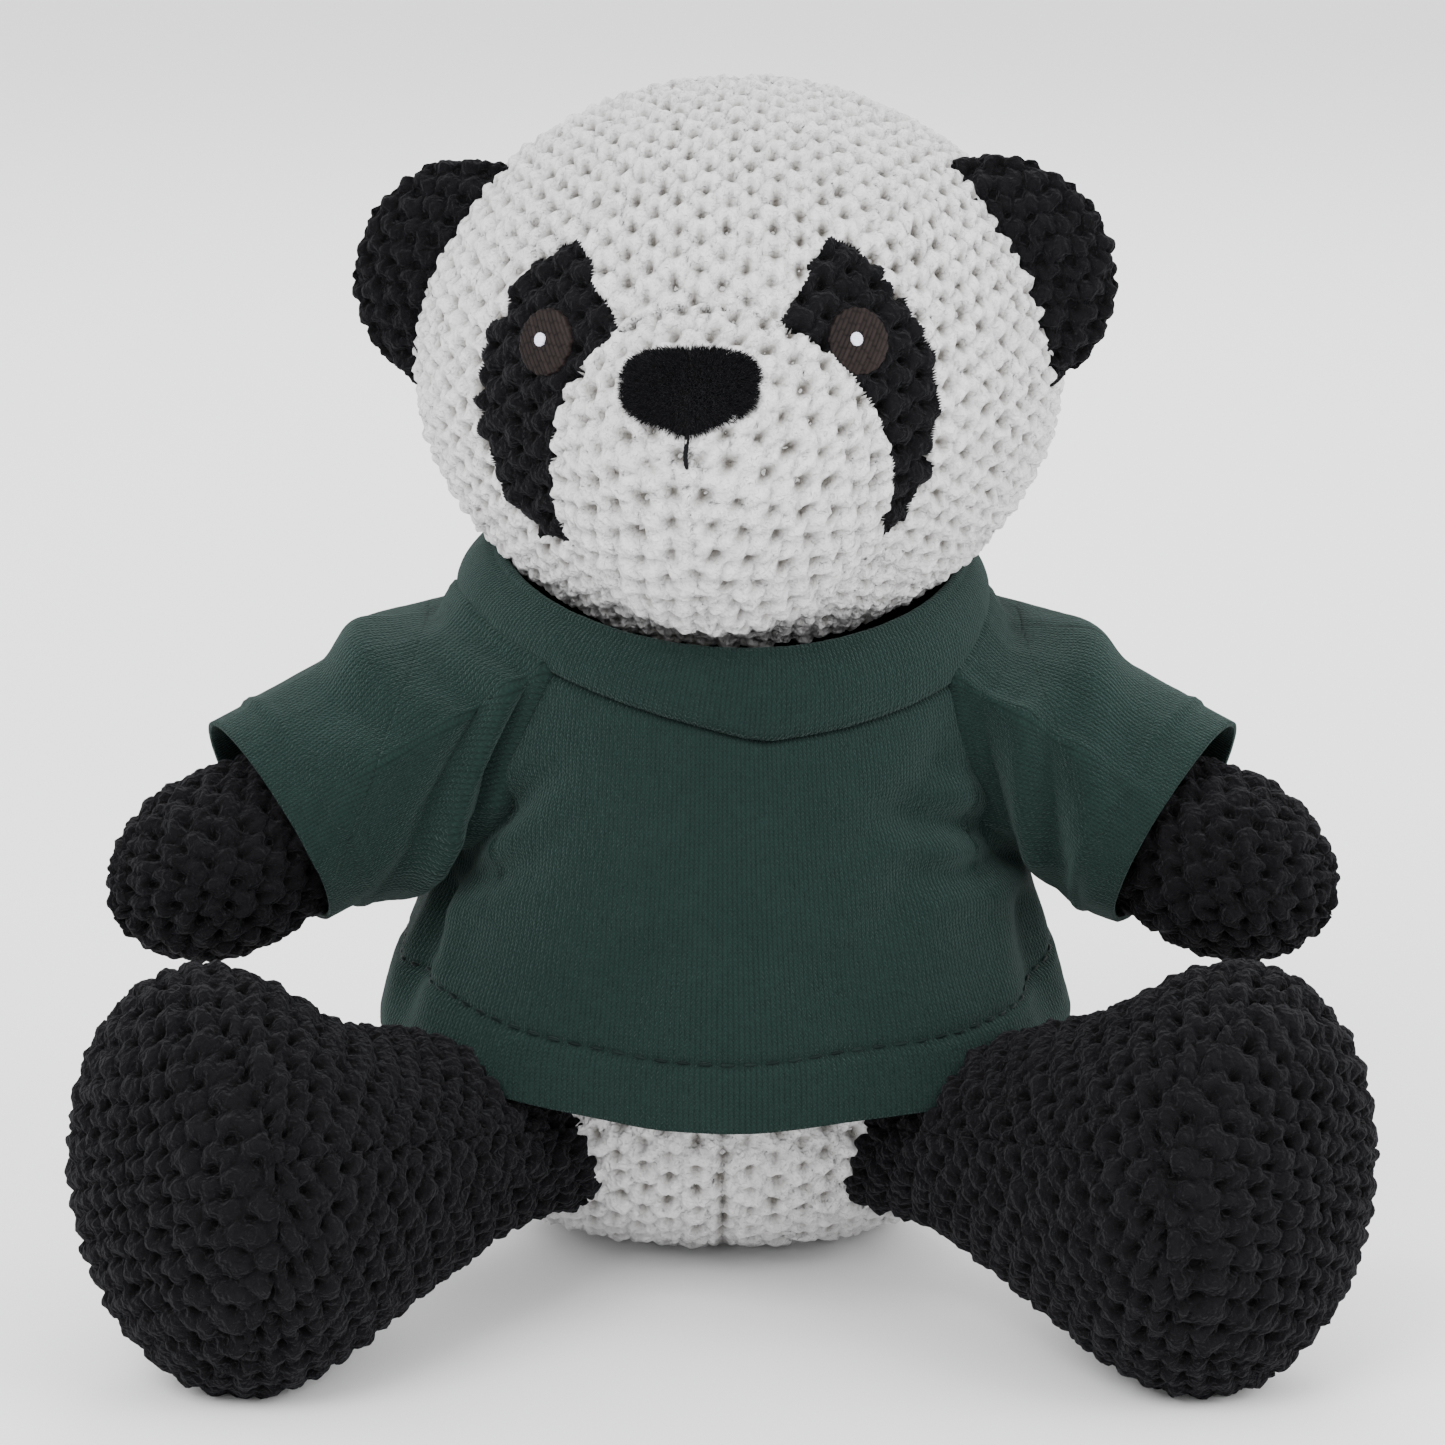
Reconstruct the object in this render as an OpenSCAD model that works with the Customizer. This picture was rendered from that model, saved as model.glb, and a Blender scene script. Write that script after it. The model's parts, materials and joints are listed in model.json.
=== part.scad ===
// Seated plush panda in a raglan T-shirt.
// Frame: +Z up, the panda faces -Y, origin on the floor under the middle of the torso's seat.

/* [Fabric] */
// Thickness of the chenille knit with its pile
skin_t = 1.5; // [1.2:0.1:2]
// Thickness of the jersey of the shirt
jersey_t = 0.9; // [0.7:0.1:1.2]
// Gap between neighbouring panels at a seam
seam_gap = 0.3; // [0.2:0.1:0.5]

/* [Head] */
// Half width of the head
head_a = 49; // [47:1:51]
// Half depth of the head, without the muzzle
head_b = 44; // [42:1:45]
// Half height of the head
head_h = 42.5; // [41:0.5:44]
// Height of the head's centre above the floor
head_z = 142.5; // [142:0.5:144]
// Turn of the head towards the panda's right, in degrees
head_turn = -8; // [-12:1:0]
// Tilt of the head towards the panda's right, in degrees
head_tilt = -1.5; // [-3:0.5:0]
// Half width of the muzzle
muzzle_a = 28; // [26:1:29]
// Radius of an ear
ear_r = 18.5; // [17:0.5:20]
// Radius of an embroidered iris
iris_r = 4.5; // [4:0.1:5]

/* [Limbs] */
// Radius of the stuffed neck joint
neck_r = 16.5; // [15:0.5:17]
// Radius of the stuffed shoulder joint
shoulder_r = 12; // [11:0.5:12.5]
// Radius of the stuffed hip joint
hip_r = 12.5; // [11.5:0.5:13]
// Thickness factor of the arms
arm_fat = 1; // [0.95:0.01:1.03]
// Thickness factor of the legs
leg_fat = 1; // [0.95:0.01:1]

/* [Hidden] */

WHITE = [0.86, 0.85, 0.83];
BLACK = [0.10, 0.10, 0.11];
GREEN = [0.16, 0.26, 0.24];
BROWN = [0.24, 0.19, 0.18];
FIBRE = [0.95, 0.95, 0.93];

joint_gap = 0.4;
neck_p = [1, -3, 104.5];
shoulder_p = [31, -1, 86];
hip_p = [25, -19, 25];
hand_p = [80, -22, 66];
foot_p = [71, -63, 31.7];
toe_tilt = 20;
head_p = [2.5, -5, head_z];
muzzle_p = [0, -27, -8];
muzzle_r = [muzzle_a, 29, 26];
muzzle_low = 16;
neck_hole = 27;

function unit(v) = v / norm(v);
function mix(a, b, k) = a + (b - a) * k;
function clamp(x) = min(1, max(0, x));
function mirrored(p, side) = [side * p.x, p.y, p.z];
function steps(n) = [for (i = [0:n]) i / n];

// Faces of a grid of nu by nv cells whose first point is number base; flip turns them over.
function grid_faces(base, nu, nv, flip, row) = [
    for (i = [0:nu - 1])
        for (j = [0:nv - 1])
            let (a = base + i * row + j, b = a + 1, c = a + row + 1, d = a + row)
                for (f = flip ? [[a, b, c], [a, c, d]] : [[a, c, b], [a, d, c]]) f
];

// A curved panel: f(u, v, depth) gives the fabric's outer face at depth 0 and its inner face at depth t.
module panel(f, nu, nv, t, flip = false) {
    row = nv + 1;
    layer = (nu + 1) * row;
    points = [for (d = [0, t], u = steps(nu), v = steps(nv)) f(u, v, d)];
    sides = [
        for (j = [0:nv - 1]) [j, j + 1, layer + j + 1, layer + j],
        for (j = [0:nv - 1]) let (k = nu * row + j) [k + 1, k, layer + k, layer + k + 1],
        for (i = [0:nu - 1]) let (k = i * row) [k + row, k, layer + k, layer + k + row],
        for (i = [0:nu - 1]) let (k = i * row + nv) [k, k + row, layer + k + row, layer + k]
    ];
    turned = [for (s = sides) flip ? [s[3], s[2], s[1], s[0]] : s];
    cut = [for (s = turned) each [[s[0], s[1], s[2]], [s[0], s[2], s[3]]]];
    polyhedron(points, concat(
        grid_faces(0, nu, nv, flip, row), grid_faces(layer, nu, nv, !flip, row), cut), convexity = 8);
}

// A panel that closes on itself in u, such as a band.
module band(f, nu, nv, t) {
    row = nv + 1;
    layer = nu * row;
    points = [for (d = [0, t], i = [0:nu - 1], v = steps(nv)) f(i / nu, v, d)];
    faces = [
        for (l = [0, 1], i = [0:nu - 1], j = [0:nv - 1])
            let (a = l * layer + i * row + j, b = l * layer + ((i + 1) % nu) * row + j)
                for (q = l == 0 ? [[a, b + 1, a + 1], [a, b, b + 1]] : [[a, a + 1, b + 1], [a, b + 1, b]]) q,
        for (i = [0:nu - 1])
            let (a = i * row, b = ((i + 1) % nu) * row)
                for (q = [[a, layer + a, layer + b], [a, layer + b, b]]) q,
        for (i = [0:nu - 1])
            let (a = i * row + nv, b = ((i + 1) % nu) * row + nv)
                for (q = [[a, layer + b, layer + a], [a, b, layer + b]]) q
    ];
    polyhedron(points, faces, convexity = 8);
}

// A closed bag: f(u, v) goes once round in v, and from the first pole to the last in u.
module bag(f, nu, nv) {
    rings = [for (i = [1:nu - 1], j = [0:nv - 1]) f(i / nu, j / nv)];
    first = (nu - 1) * nv;
    faces = [
        for (i = [0:nu - 3], j = [0:nv - 1])
            let (a = i * nv + j, b = i * nv + (j + 1) % nv)
                for (q = [[a, b + nv, b], [a, a + nv, b + nv]]) q,
        for (j = [0:nv - 1]) [first, j, (j + 1) % nv],
        for (j = [0:nv - 1]) [first + 1, (nu - 2) * nv + (j + 1) % nv, (nu - 2) * nv + j]
    ];
    polyhedron(concat(rings, [f(0, 0), f(1, 0)]), faces, convexity = 4);
}

// Head. Directions are azimuth from the face (-Y) towards +X, and elevation.
function toward(az, el) = [cos(el) * sin(az), -cos(el) * cos(az), sin(el)];
// Directions by latitude from the middle plane: up turns about X, from the face over the crown.
function across(up, lat) = [sin(lat), -cos(lat) * cos(up), cos(lat) * sin(up)];
function on_head(n, d) = [n.x * (head_a - d), n.y * (head_b - d), n.z * (head_h - d)];
function on_muzzle(n, d) =
    muzzle_p + [n.x * (muzzle_r.x - d), n.y * (muzzle_r.y - d), n.z * (muzzle_r.z - d)];
function head_level(p, out) =
    norm([p.x / (head_a + out), p.y / (head_b + out), p.z / (head_h + out)]);

module head_frame() {
    translate(head_p) rotate([0, head_tilt, head_turn]) children();
}

// How far the face panel reaches from the muzzle's axis: to the side seam, and to the neck's edge.
function face_edge(al) =
    let (side = atan2(cos(muzzle_low), -sin(al) * sin(muzzle_low)),
         k = sin(muzzle_low), m = -sin(al) * cos(muzzle_low), r = norm([k, m]),
         neck = m > 0 && r > cos(neck_hole) ? atan2(m, k) - acos(cos(neck_hole) / r) : 180)
        min(side, neck) - seam_gap;
function face_point(u, v, d) =
    let (al = 360 * u, ro = mix(30, face_edge(al), v),
         n = cos(ro) * toward(0, -muzzle_low)
           + sin(ro) * (cos(al) * [1, 0, 0] + sin(al) * [0, -sin(muzzle_low), cos(muzzle_low)]))
        on_head(n, d);
module head_front() {
    color(WHITE) head_frame() band(function (u, v, d) face_point(u, v, d), 28, 7, skin_t);
}

function back_point(u, v, d, side) =
    let (lat = mix(0.2, 88, v), low = 180 + asin(min(1, cos(neck_hole) / cos(lat))) - seam_gap)
        on_head(across(mix(90 + seam_gap, low, u), side * lat), d);
module head_back(side) {
    color(WHITE) head_frame()
        panel(function (u, v, d) back_point(u, v, d, side), 11, 8, skin_t, flip = side < 0);
}

// The muzzle's edge lies just outside the head; halve the step n times to find it.
function muzzle_clear(up, lat) = head_level(on_muzzle(across(up, lat), skin_t), 0.5) > 1;
function lat_edge(up, low, high, n) =
    n == 0 ? low : let (m = (low + high) / 2)
        muzzle_clear(up, m) ? lat_edge(up, m, high, n - 1) : lat_edge(up, low, m, n - 1);
function up_edge(low, high, n) =
    n == 0 ? low : let (m = (low + high) / 2)
        muzzle_clear(m, 2.5) ? up_edge(m, high, n - 1) : up_edge(low, m, n - 1);
muzzle_top = up_edge(0, 80, 12);
muzzle_base = up_edge(0, -89, 12);
function muzzle_point(u, v, d, side) =
    let (up = mix(muzzle_base, muzzle_top, u), lat = mix(0.35, lat_edge(up, 0.5, 89, 12), v))
        on_muzzle(across(up, side * lat), d);
module muzzle(side) {
    color(WHITE) head_frame()
        panel(function (u, v, d) muzzle_point(u, v, d, side), 11, 7, skin_t, flip = side < 0);
}

module nose() {
    color(BLACK) head_frame() difference() {
        hull() {
            for (s = [-1, 1]) translate([s * 7, -50.5, 6.5]) sphere(r = 4, $fn = 16);
            translate([0, -54.2, 0.5]) sphere(r = 3.2, $fn = 16);
        }
        bag(function (u, v) on_muzzle(toward(360 * v, mix(-90, 90, u)), -0.4), 16, 28);
    }
}

module nose_stitch() {
    color(BLACK) head_frame() hull() {
        translate([0, -56.7, -4.5]) sphere(r = 0.5, $fn = 10);
        translate([0, -56.75, -9.5]) sphere(r = 0.5, $fn = 10);
    }
}

// The eye patch's outer and inner edges, as azimuths, at an elevation.
function patch_outer(el) = 45 - 0.0117 * (el + 4) ^ 2;
function patch_inner(el) = el > 14.5 ? 15 + 0.72 * (el - 14.5) : 15 + 24 * (1 - exp((el - 14.5) / 20));
function patch_point(u, v, d, side) =
    let (el = mix(-27, 32.5, u)) on_head(toward(side * mix(patch_inner(el), patch_outer(el), v), el), d - 0.75);
module eye_patch(side) {
    color(BLACK) head_frame()
        panel(function (u, v, d) patch_point(u, v, d, side), 10, 4, 0.65, flip = side < 0);
}

iris_dir = [28.4, 12.2];
module on_eye(side, lift) {
    p = on_head(toward(side * iris_dir.x, iris_dir.y), -lift);
    n = unit([p.x / head_a ^ 2, p.y / head_b ^ 2, p.z / head_h ^ 2]);
    head_frame() translate(p) rotate([0, acos(n.z), atan2(n.y, n.x)]) children();
}
module iris(side) {
    color(BROWN) on_eye(side, 0.8) cylinder(h = 0.5, r = iris_r, $fn = 32);
}
module glint(side) {
    color("white") on_eye(side, 1.32) translate([-0.3, 0, 0]) cylinder(h = 0.3, r = iris_r * 0.28, $fn = 20);
}

module neck_ball(gap = 0) {
    translate(neck_p) sphere(r = neck_r + gap, $fn = 32);
}
module head_stuffing() {
    color(FIBRE) difference() {
        head_frame() bag(function (u, v) on_head(toward(360 * v, mix(-90, 90, u)), skin_t + 1), 14, 22);
        neck_ball(joint_gap);
    }
}
module muzzle_stuffing() {
    color(FIBRE) head_frame() difference() {
        bag(function (u, v) on_muzzle(toward(360 * v, mix(-90, 90, u)), skin_t + 1.2), 12, 20);
        bag(function (u, v) on_head(toward(360 * v, mix(-90, 90, u)), -0.6), 14, 24);
    }
}

// Ears: x points out of the head, z runs along the seam, y is the thickness.
ear_p = [39.8, -5, 13.3];
ear_lean = 30;
module ear_frame(side) {
    head_frame() mirror([side < 0 ? 1 : 0, 0, 0]) translate(ear_p) rotate([0, -ear_lean, 0]) children();
}
function ear_to_head(q) =
    ear_p + [q.x * cos(ear_lean) - q.z * sin(ear_lean), q.y, q.x * sin(ear_lean) + q.z * cos(ear_lean)];
function ear_root(be, low, high, n) =
    n == 0 ? high : let (m = (low + high) / 2)
        head_level(ear_to_head([m * cos(be), 0, m * sin(be)]), 2.7) > 1
            ? ear_root(be, low, m, n - 1) : ear_root(be, m, high, n - 1);
function ear_half(u, v) = 1.6 + 2.6 * sin(180 * u) * sin(180 * clamp(v * 0.92 + 0.05));
function ear_at(u, v, inset) =
    let (be = mix(-66, 72, u), root = min(ear_root(be, 0, ear_r, 12) + inset, ear_r - 2 - inset),
         r = mix(root, ear_r - inset, v))
        [r * cos(be), 0, r * sin(be)];
function ear_face(u, v, d, face) =
    ear_at(u, v, 0) + [0, face * (d == 0 ? ear_half(u, v) : 0.15 + max(0, ear_half(u, v) - 1.6)), 0];
module ear(side, face) {
    color(BLACK) ear_frame(side)
        panel(function (u, v, d) ear_face(u, v, d, face), 12, 4, 1, flip = face > 0);
}
function ear_pad(u, v, d) =
    ear_at(mix(0.1, 0.9, u), v, 2.5)
    + [0, (d == 0 ? 1 : -1) * max(0.1, ear_half(u, mix(0.2, 0.8, v)) - 1.9), 0];
module ear_wadding(side) {
    color(FIBRE) ear_frame(side) panel(function (u, v, d) ear_pad(u, v, d), 8, 3, 1, flip = true);
}

module neck_stuffing() {
    color(FIBRE) neck_ball();
}

// Torso: half width, half depth and middle Y by height.
torso_a = [[0, 25], [3, 32], [8, 37], [14, 40.5], [25, 43.5], [40, 44.5], [60, 42], [75, 38.5], [85, 33], [91, 26], [94, 20.5]];
torso_b = [[0, 21], [3, 27], [8, 32], [14, 35.5], [25, 39.5], [40, 40.5], [60, 38.5], [75, 35], [85, 30], [91, 24], [94, 19]];
torso_y = [[0, 12], [3, 9.5], [8, 7.5], [14, 5.5], [25, 3], [40, 1.5], [60, 0.5], [85, -1], [94, -2.5]];
function torso_point(az, z, d) =
    [(lookup(z, torso_a) - d) * sin(az), lookup(z, torso_y) - (lookup(z, torso_b) - d) * cos(az), z];
yoke_z = 62;
module torso_panel(az0, az1, z0, z1, nu, nv) {
    panel(function (u, v, d) torso_point(mix(az0, az1, v), mix(z0, z1, u), d), nu, nv, skin_t);
}
module joint_balls(p, r) {
    for (s = [-1, 1]) translate(mirrored(p, s)) sphere(r = r, $fn = 32);
}
module belly(side) {
    color(WHITE) difference() {
        torso_panel(side > 0 ? 0.3 : -89.7, side > 0 ? 89.7 : -0.3, 0.3, yoke_z - 0.2, 9, 8);
        joint_balls(hip_p, hip_r + joint_gap);
    }
}
module torso_back(side) {
    color(WHITE) difference() {
        torso_panel(side > 0 ? 90.3 : -179.7, side > 0 ? 179.7 : -90.3, 0.3, yoke_z - 0.2, 9, 8);
        joint_balls(hip_p, hip_r + joint_gap);
    }
}
module yoke(start) {
    color(BLACK) difference() {
        torso_panel(start + 0.3, start + 179.7, yoke_z + 0.2, 91.5, 5, 16);
        joint_balls(shoulder_p, shoulder_r + joint_gap);
        neck_ball(joint_gap);
    }
}
seat_r = 18.5;
module seat_panel() {
    color(WHITE) translate([0, lookup(0, torso_y), 0]) cylinder(h = skin_t, r = seat_r, $fn = 48);
}
function torso_bag(u, v) =
    u == 0 ? [0, 4, 24] : u == 1 ? [0, -2, 90] :
        torso_point(360 * v, mix(24, 90, clamp((u - 0.1) / 0.8)), skin_t + 0.4);
module torso_stuffing() {
    color(FIBRE) difference() {
        bag(function (u, v) torso_bag(u, v), 10, 24);
        joint_balls(hip_p, hip_r + joint_gap);
        joint_balls(shoulder_p, shoulder_r + joint_gap);
        neck_ball(joint_gap);
    }
}
function pellet_point(n) = [19 * n.x, 11 + 17 * n.y, 12.5 + 10 * n.z];
module pellet_bag() {
    color("tan") difference() {
        bag(function (u, v) pellet_point(toward(360 * v, mix(-90, 90, u))), 8, 16);
        joint_balls(hip_p, hip_r + joint_gap);
    }
}

// Limbs: s is the distance from the joint's centre along the limb.
arm_axis = unit(hand_p - shoulder_p);
arm_up = unit([0, 0, 1] - arm_axis.z * arm_axis);
arm_side = cross(arm_axis, arm_up);
arm_r = [
    [16, 12.3], [30, 13], [43, 13.7], [50, 14.7], [55, 14.8], [59, 14.2],
    [63, 12.6], [66.5, 9.8], [69, 6.2], [70.5, 2.5], [70.8, 0.7]
];
function arm_point(s, al, d) =
    let (r = max(0.4, arm_fat * lookup(s, arm_r) - d))
        shoulder_p + (s - d * clamp((s - 55) / 15)) * arm_axis + r * (cos(al) * arm_up + sin(al) * arm_side);
arm_s = [16, 23, 32, 42, 50, 57, 62, 66, 69, 70.5, 70.8];
module arm_half(side, al0) {
    color(BLACK) mirror([side < 0 ? 1 : 0, 0, 0]) panel(
        function (u, v, d) arm_point(arm_s[round(u * 10)], mix(al0 + 0.7, al0 + 179.3, v), d),
        10, 8, skin_t);
}
fill_s = [16, 22, 31, 42, 52, 59, 63, 66.5];
function arm_bag(u, v) =
    let (k = round(u * 9), s = k == 0 ? 15.5 : k == 9 ? 68.3 : fill_s[k - 1])
        k == 0 || k == 9 ? shoulder_p + (s - (k == 9 ? 1 : 0)) * arm_axis : arm_point(s, 360 * v, skin_t + 0.4);
module arm_stuffing(side) {
    color(FIBRE) difference() {
        mirror([side < 0 ? 1 : 0, 0, 0]) bag(function (u, v) arm_bag(u, v), 9, 16);
        joint_balls(shoulder_p, shoulder_r + joint_gap);
    }
}
module ball(p, side, r) {
    color(FIBRE) translate(mirrored(p, side)) sphere(r = r, $fn = 32);
}

leg_axis = unit(foot_p - hip_p);
leg_out = unit(cross(leg_axis, [0, 0, 1]));
leg_top = cross(leg_out, leg_axis);
toe_dir = cos(toe_tilt) * leg_top - sin(toe_tilt) * leg_out;
toe_side = cross(leg_axis, toe_dir);
leg_a = [
    [16, 14.5], [22, 16], [32, 18.5], [43, 21.5], [53, 23.8], [61, 25.2], [68, 25.7],
    [74, 24.6], [78, 22.4], [82, 18.5], [85, 13], [87, 6]
];
leg_b = [
    [16, 14], [22, 15.8], [32, 19.5], [43, 24], [53, 28.6], [61, 31.4], [68, 32.3],
    [74, 30.4], [78, 28], [82, 23], [85, 17], [87, 8]
];
function leg_point(s, al, d) =
    hip_p + (s - d * clamp((s - 67) / 16)) * leg_axis
    + (leg_fat * lookup(s, leg_a) - d) * sin(al) * toe_side + (leg_fat * lookup(s, leg_b) - d) * cos(al) * toe_dir;
leg_s = [16, 24, 33, 43, 53, 61, 68, 74, 77.7];
module leg_half(side, al0) {
    color(BLACK) mirror([side < 0 ? 1 : 0, 0, 0]) panel(
        function (u, v, d) leg_point(leg_s[round(u * 8)], mix(al0 + 0.5, al0 + 179.5, v), d),
        8, 10, skin_t);
}
function sole_shell(u, v) =
    let (s = [78, 80, 82, 83.7, 85, 86.2, 87], k = round(u * 15))
        k == 0 ? hip_p + 87.8 * leg_axis : k == 15 ? hip_p + (87.8 - skin_t) * leg_axis :
        k < 8 ? leg_point(s[7 - k], 360 * v, 0) : leg_point(s[k - 8], 360 * v, skin_t);
module sole(side) {
    color(BLACK) mirror([side < 0 ? 1 : 0, 0, 0])
        bag(function (u, v) sole_shell(u, -v), 15, 20);
}
leg_fill_s = [17, 25, 36, 48, 59, 67, 74, 79, 83];
function leg_bag(u, v) =
    let (k = round(u * 10))
        k == 0 ? hip_p + 16.5 * leg_axis : k == 10 ? hip_p + 83.5 * leg_axis :
            leg_point(leg_fill_s[k - 1], 360 * v, skin_t + 0.4);
module leg_stuffing(side) {
    color(FIBRE) difference() {
        mirror([side < 0 ? 1 : 0, 0, 0]) bag(function (u, v) leg_bag(u, v), 10, 18);
        joint_balls(hip_p, hip_r + joint_gap);
    }
}

// Shirt body: half width and half depth by height, and the lines of its hem and of the neck seam.
shirt_a = [[30, 54], [42, 53.5], [52, 51], [62, 48], [75, 45.5], [88, 43.5], [104, 40.5]];
shirt_b = [[30, 48.5], [42, 48], [52, 46.5], [62, 44.8], [75, 42.5], [88, 41], [104, 39.5]];
shirt_y = -2;
armhole_r = 30.5;
function neck_seam_z(az) = 100 - 8 * cos(az);
function hem_z(az) = 36 + 10 * sin(az) ^ 2 - 3 * clamp(-cos(az));
function shirt_point(az, k, d) =
    let (z = mix(hem_z(az), neck_seam_z(az) - seam_gap, k))
        [(lookup(z, shirt_a) - d) * sin(az), shirt_y - (lookup(z, shirt_b) - d) * cos(az), z];
// Room under the hem for a leg, from rest to fully lifted.
module leg_room(side) {
    for (lift = [0, 7, 14])
        mirror([side < 0 ? 1 : 0, 0, 0]) translate(hip_p) rotate([0, 0, atan2(leg_axis.y, leg_axis.x)])
            rotate([0, acos(leg_axis.z) - lift, 0]) cylinder(h = 50, r1 = 13.6, r2 = 24.6, $fn = 40);
}
module shirt_body(az0) {
    color(GREEN) difference() {
        panel(function (u, v, d) shirt_point(mix(az0 + 0.3, az0 + 179.7, v), u, d), 7, 18, jersey_t);
        joint_balls(shoulder_p, armhole_r);
        if (az0 < 0) {
            leg_room(1);
            leg_room(-1);
        }
    }
}
rim_a = 38.6;
rim_b = 41.4;
function rim_z(az) = 110.5 - 6.5 * cos(az);
function collar_point(u, v, d) =
    let (az = 360 * u, low = shirt_point(az, 1, 0) + [0, 0, 2 * seam_gap],
         high = [rim_a * sin(az), -1 - rim_b * cos(az), rim_z(az)],
         p = mix(low, high, v) + 1.6 * sin(180 * v) * [sin(az), -cos(az), 0.3])
        p - 1.6 * d * [sin(az), -cos(az), 0];
module shirt_collar() {
    color(GREEN) band(function (u, v, d) collar_point(-u, v, d), 32, 4, 1);
}

// Sleeve: a loose cone round the arm, deeper than it is wide.
sleeve_s = [21.5, 29, 36, 43.5];
sleeve_high = [[21.5, 17.2], [43.5, 17.2]];
sleeve_wide = [[21.5, 17], [43.5, 16.8]];
function sleeve_point(u, v, d) =
    let (s = sleeve_s[round(3 * v)], al = 360 * u, lift = mix(3.4, 2, v))
        shoulder_p + (s + 1.5 * cos(al) * v) * arm_axis + lift * arm_up
        + (lookup(s, sleeve_high) - d) * cos(al) * arm_up + (lookup(s, sleeve_wide) - d) * sin(al) * arm_side;
module sleeve(side) {
    color(GREEN) mirror([side < 0 ? 1 : 0, 0, 0]) band(function (u, v, d) sleeve_point(-u, v, d), 20, 3, jersey_t);
}

head_front();
head_back(-1);  // head_back_left
head_back(1);  // head_back_right
muzzle(-1);  // muzzle_left
muzzle(1);  // muzzle_right
nose();
nose_stitch();
eye_patch(-1);  // eye_patch_left
eye_patch(1);  // eye_patch_right
iris(-1);  // iris_left
iris(1);  // iris_right
glint(-1);  // glint_left
glint(1);  // glint_right
head_stuffing();
muzzle_stuffing();
ear(-1, -1);  // ear_front_left
ear(1, -1);  // ear_front_right
ear(-1, 1);  // ear_back_left
ear(1, 1);  // ear_back_right
ear_wadding(-1);  // ear_wadding_left
ear_wadding(1);  // ear_wadding_right
neck_stuffing();
belly(-1);  // belly_left
belly(1);  // belly_right
torso_back(-1);  // torso_back_left
torso_back(1);  // torso_back_right
yoke(-90);  // yoke_front
yoke(90);  // yoke_back
seat_panel();
torso_stuffing();
pellet_bag();
arm_half(-1, 0);  // arm_front_left
arm_half(1, 0);  // arm_front_right
arm_half(-1, 180);  // arm_back_left
arm_half(1, 180);  // arm_back_right
arm_stuffing(-1);  // arm_stuffing_left
arm_stuffing(1);  // arm_stuffing_right
ball(shoulder_p, -1, shoulder_r);  // shoulder_stuffing_left
ball(shoulder_p, 1, shoulder_r);  // shoulder_stuffing_right
leg_half(-1, -90);  // leg_upper_left
leg_half(1, -90);  // leg_upper_right
leg_half(-1, 90);  // leg_lower_left
leg_half(1, 90);  // leg_lower_right
sole(-1);  // sole_left
sole(1);  // sole_right
leg_stuffing(-1);  // leg_stuffing_left
leg_stuffing(1);  // leg_stuffing_right
ball(hip_p, -1, hip_r);  // hip_stuffing_left
ball(hip_p, 1, hip_r);  // hip_stuffing_right
shirt_body(-90);  // shirt_front
shirt_body(90);  // shirt_back
shirt_collar();
sleeve(-1);  // sleeve_left
sleeve(1);  // sleeve_right
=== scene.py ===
"""A seated plush panda in a raglan T-shirt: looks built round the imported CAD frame."""
import json
import math

import bpy
import numpy as np
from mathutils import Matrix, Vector


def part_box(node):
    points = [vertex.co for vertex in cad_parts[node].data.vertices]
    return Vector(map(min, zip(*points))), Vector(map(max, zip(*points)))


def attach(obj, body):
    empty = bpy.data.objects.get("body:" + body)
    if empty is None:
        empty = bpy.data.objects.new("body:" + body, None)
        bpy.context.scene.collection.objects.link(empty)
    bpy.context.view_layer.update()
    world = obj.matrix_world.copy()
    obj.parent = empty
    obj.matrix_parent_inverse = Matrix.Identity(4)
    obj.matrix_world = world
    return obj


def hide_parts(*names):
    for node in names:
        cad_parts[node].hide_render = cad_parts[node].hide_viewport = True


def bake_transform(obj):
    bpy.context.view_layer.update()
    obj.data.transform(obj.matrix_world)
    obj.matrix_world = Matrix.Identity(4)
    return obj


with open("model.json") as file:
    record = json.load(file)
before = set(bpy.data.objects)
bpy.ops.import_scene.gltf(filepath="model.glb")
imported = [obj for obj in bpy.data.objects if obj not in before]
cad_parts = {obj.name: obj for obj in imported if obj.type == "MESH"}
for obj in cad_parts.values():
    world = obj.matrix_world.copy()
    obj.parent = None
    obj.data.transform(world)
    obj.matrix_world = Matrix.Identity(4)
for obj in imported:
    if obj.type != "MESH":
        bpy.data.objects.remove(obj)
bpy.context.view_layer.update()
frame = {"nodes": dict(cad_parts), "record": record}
MM = 0.001
rad = np.radians

# ---------------------------------------------------------------- numbers shared with the CAD, in mm
HEAD_R = np.array([49.0, 44.0, 42.5])
HEAD_P = np.array([2.5, -5.0, 142.5])
HEAD_TURN, HEAD_TILT = -8.0, -1.5
MUZZLE_P = np.array([0.0, -27.0, -8.0])
MUZZLE_R = np.array([28.0, 29.0, 26.0])
SHOULDER = np.array([31.0, -1.0, 86.0])
HAND = np.array([80.0, -22.0, 66.0])
ARM_THICK = 0.95
HIP = np.array([25.0, -19.0, 25.0])
FOOT = np.array([71.0, -63.0, 31.7])
TOE_TILT = 20.0
FOOT_LONG = 0.985
ANKLE_DRAWN_IN = {-1: 0.2, 1: 0.12}
SLEEVE_END, SLEEVE_LIFT, CUFF_HIGH, CUFF_WIDE = 43.5, 2.0, 16.8, 16.5
EAR_P, EAR_LEAN, EAR_R = np.array([39.8, -5.0, 13.3]), 30.0, 18.5
IRIS_AZ, IRIS_EL = 28.4, 12.2
NECK_HOLE = 25.0

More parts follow.
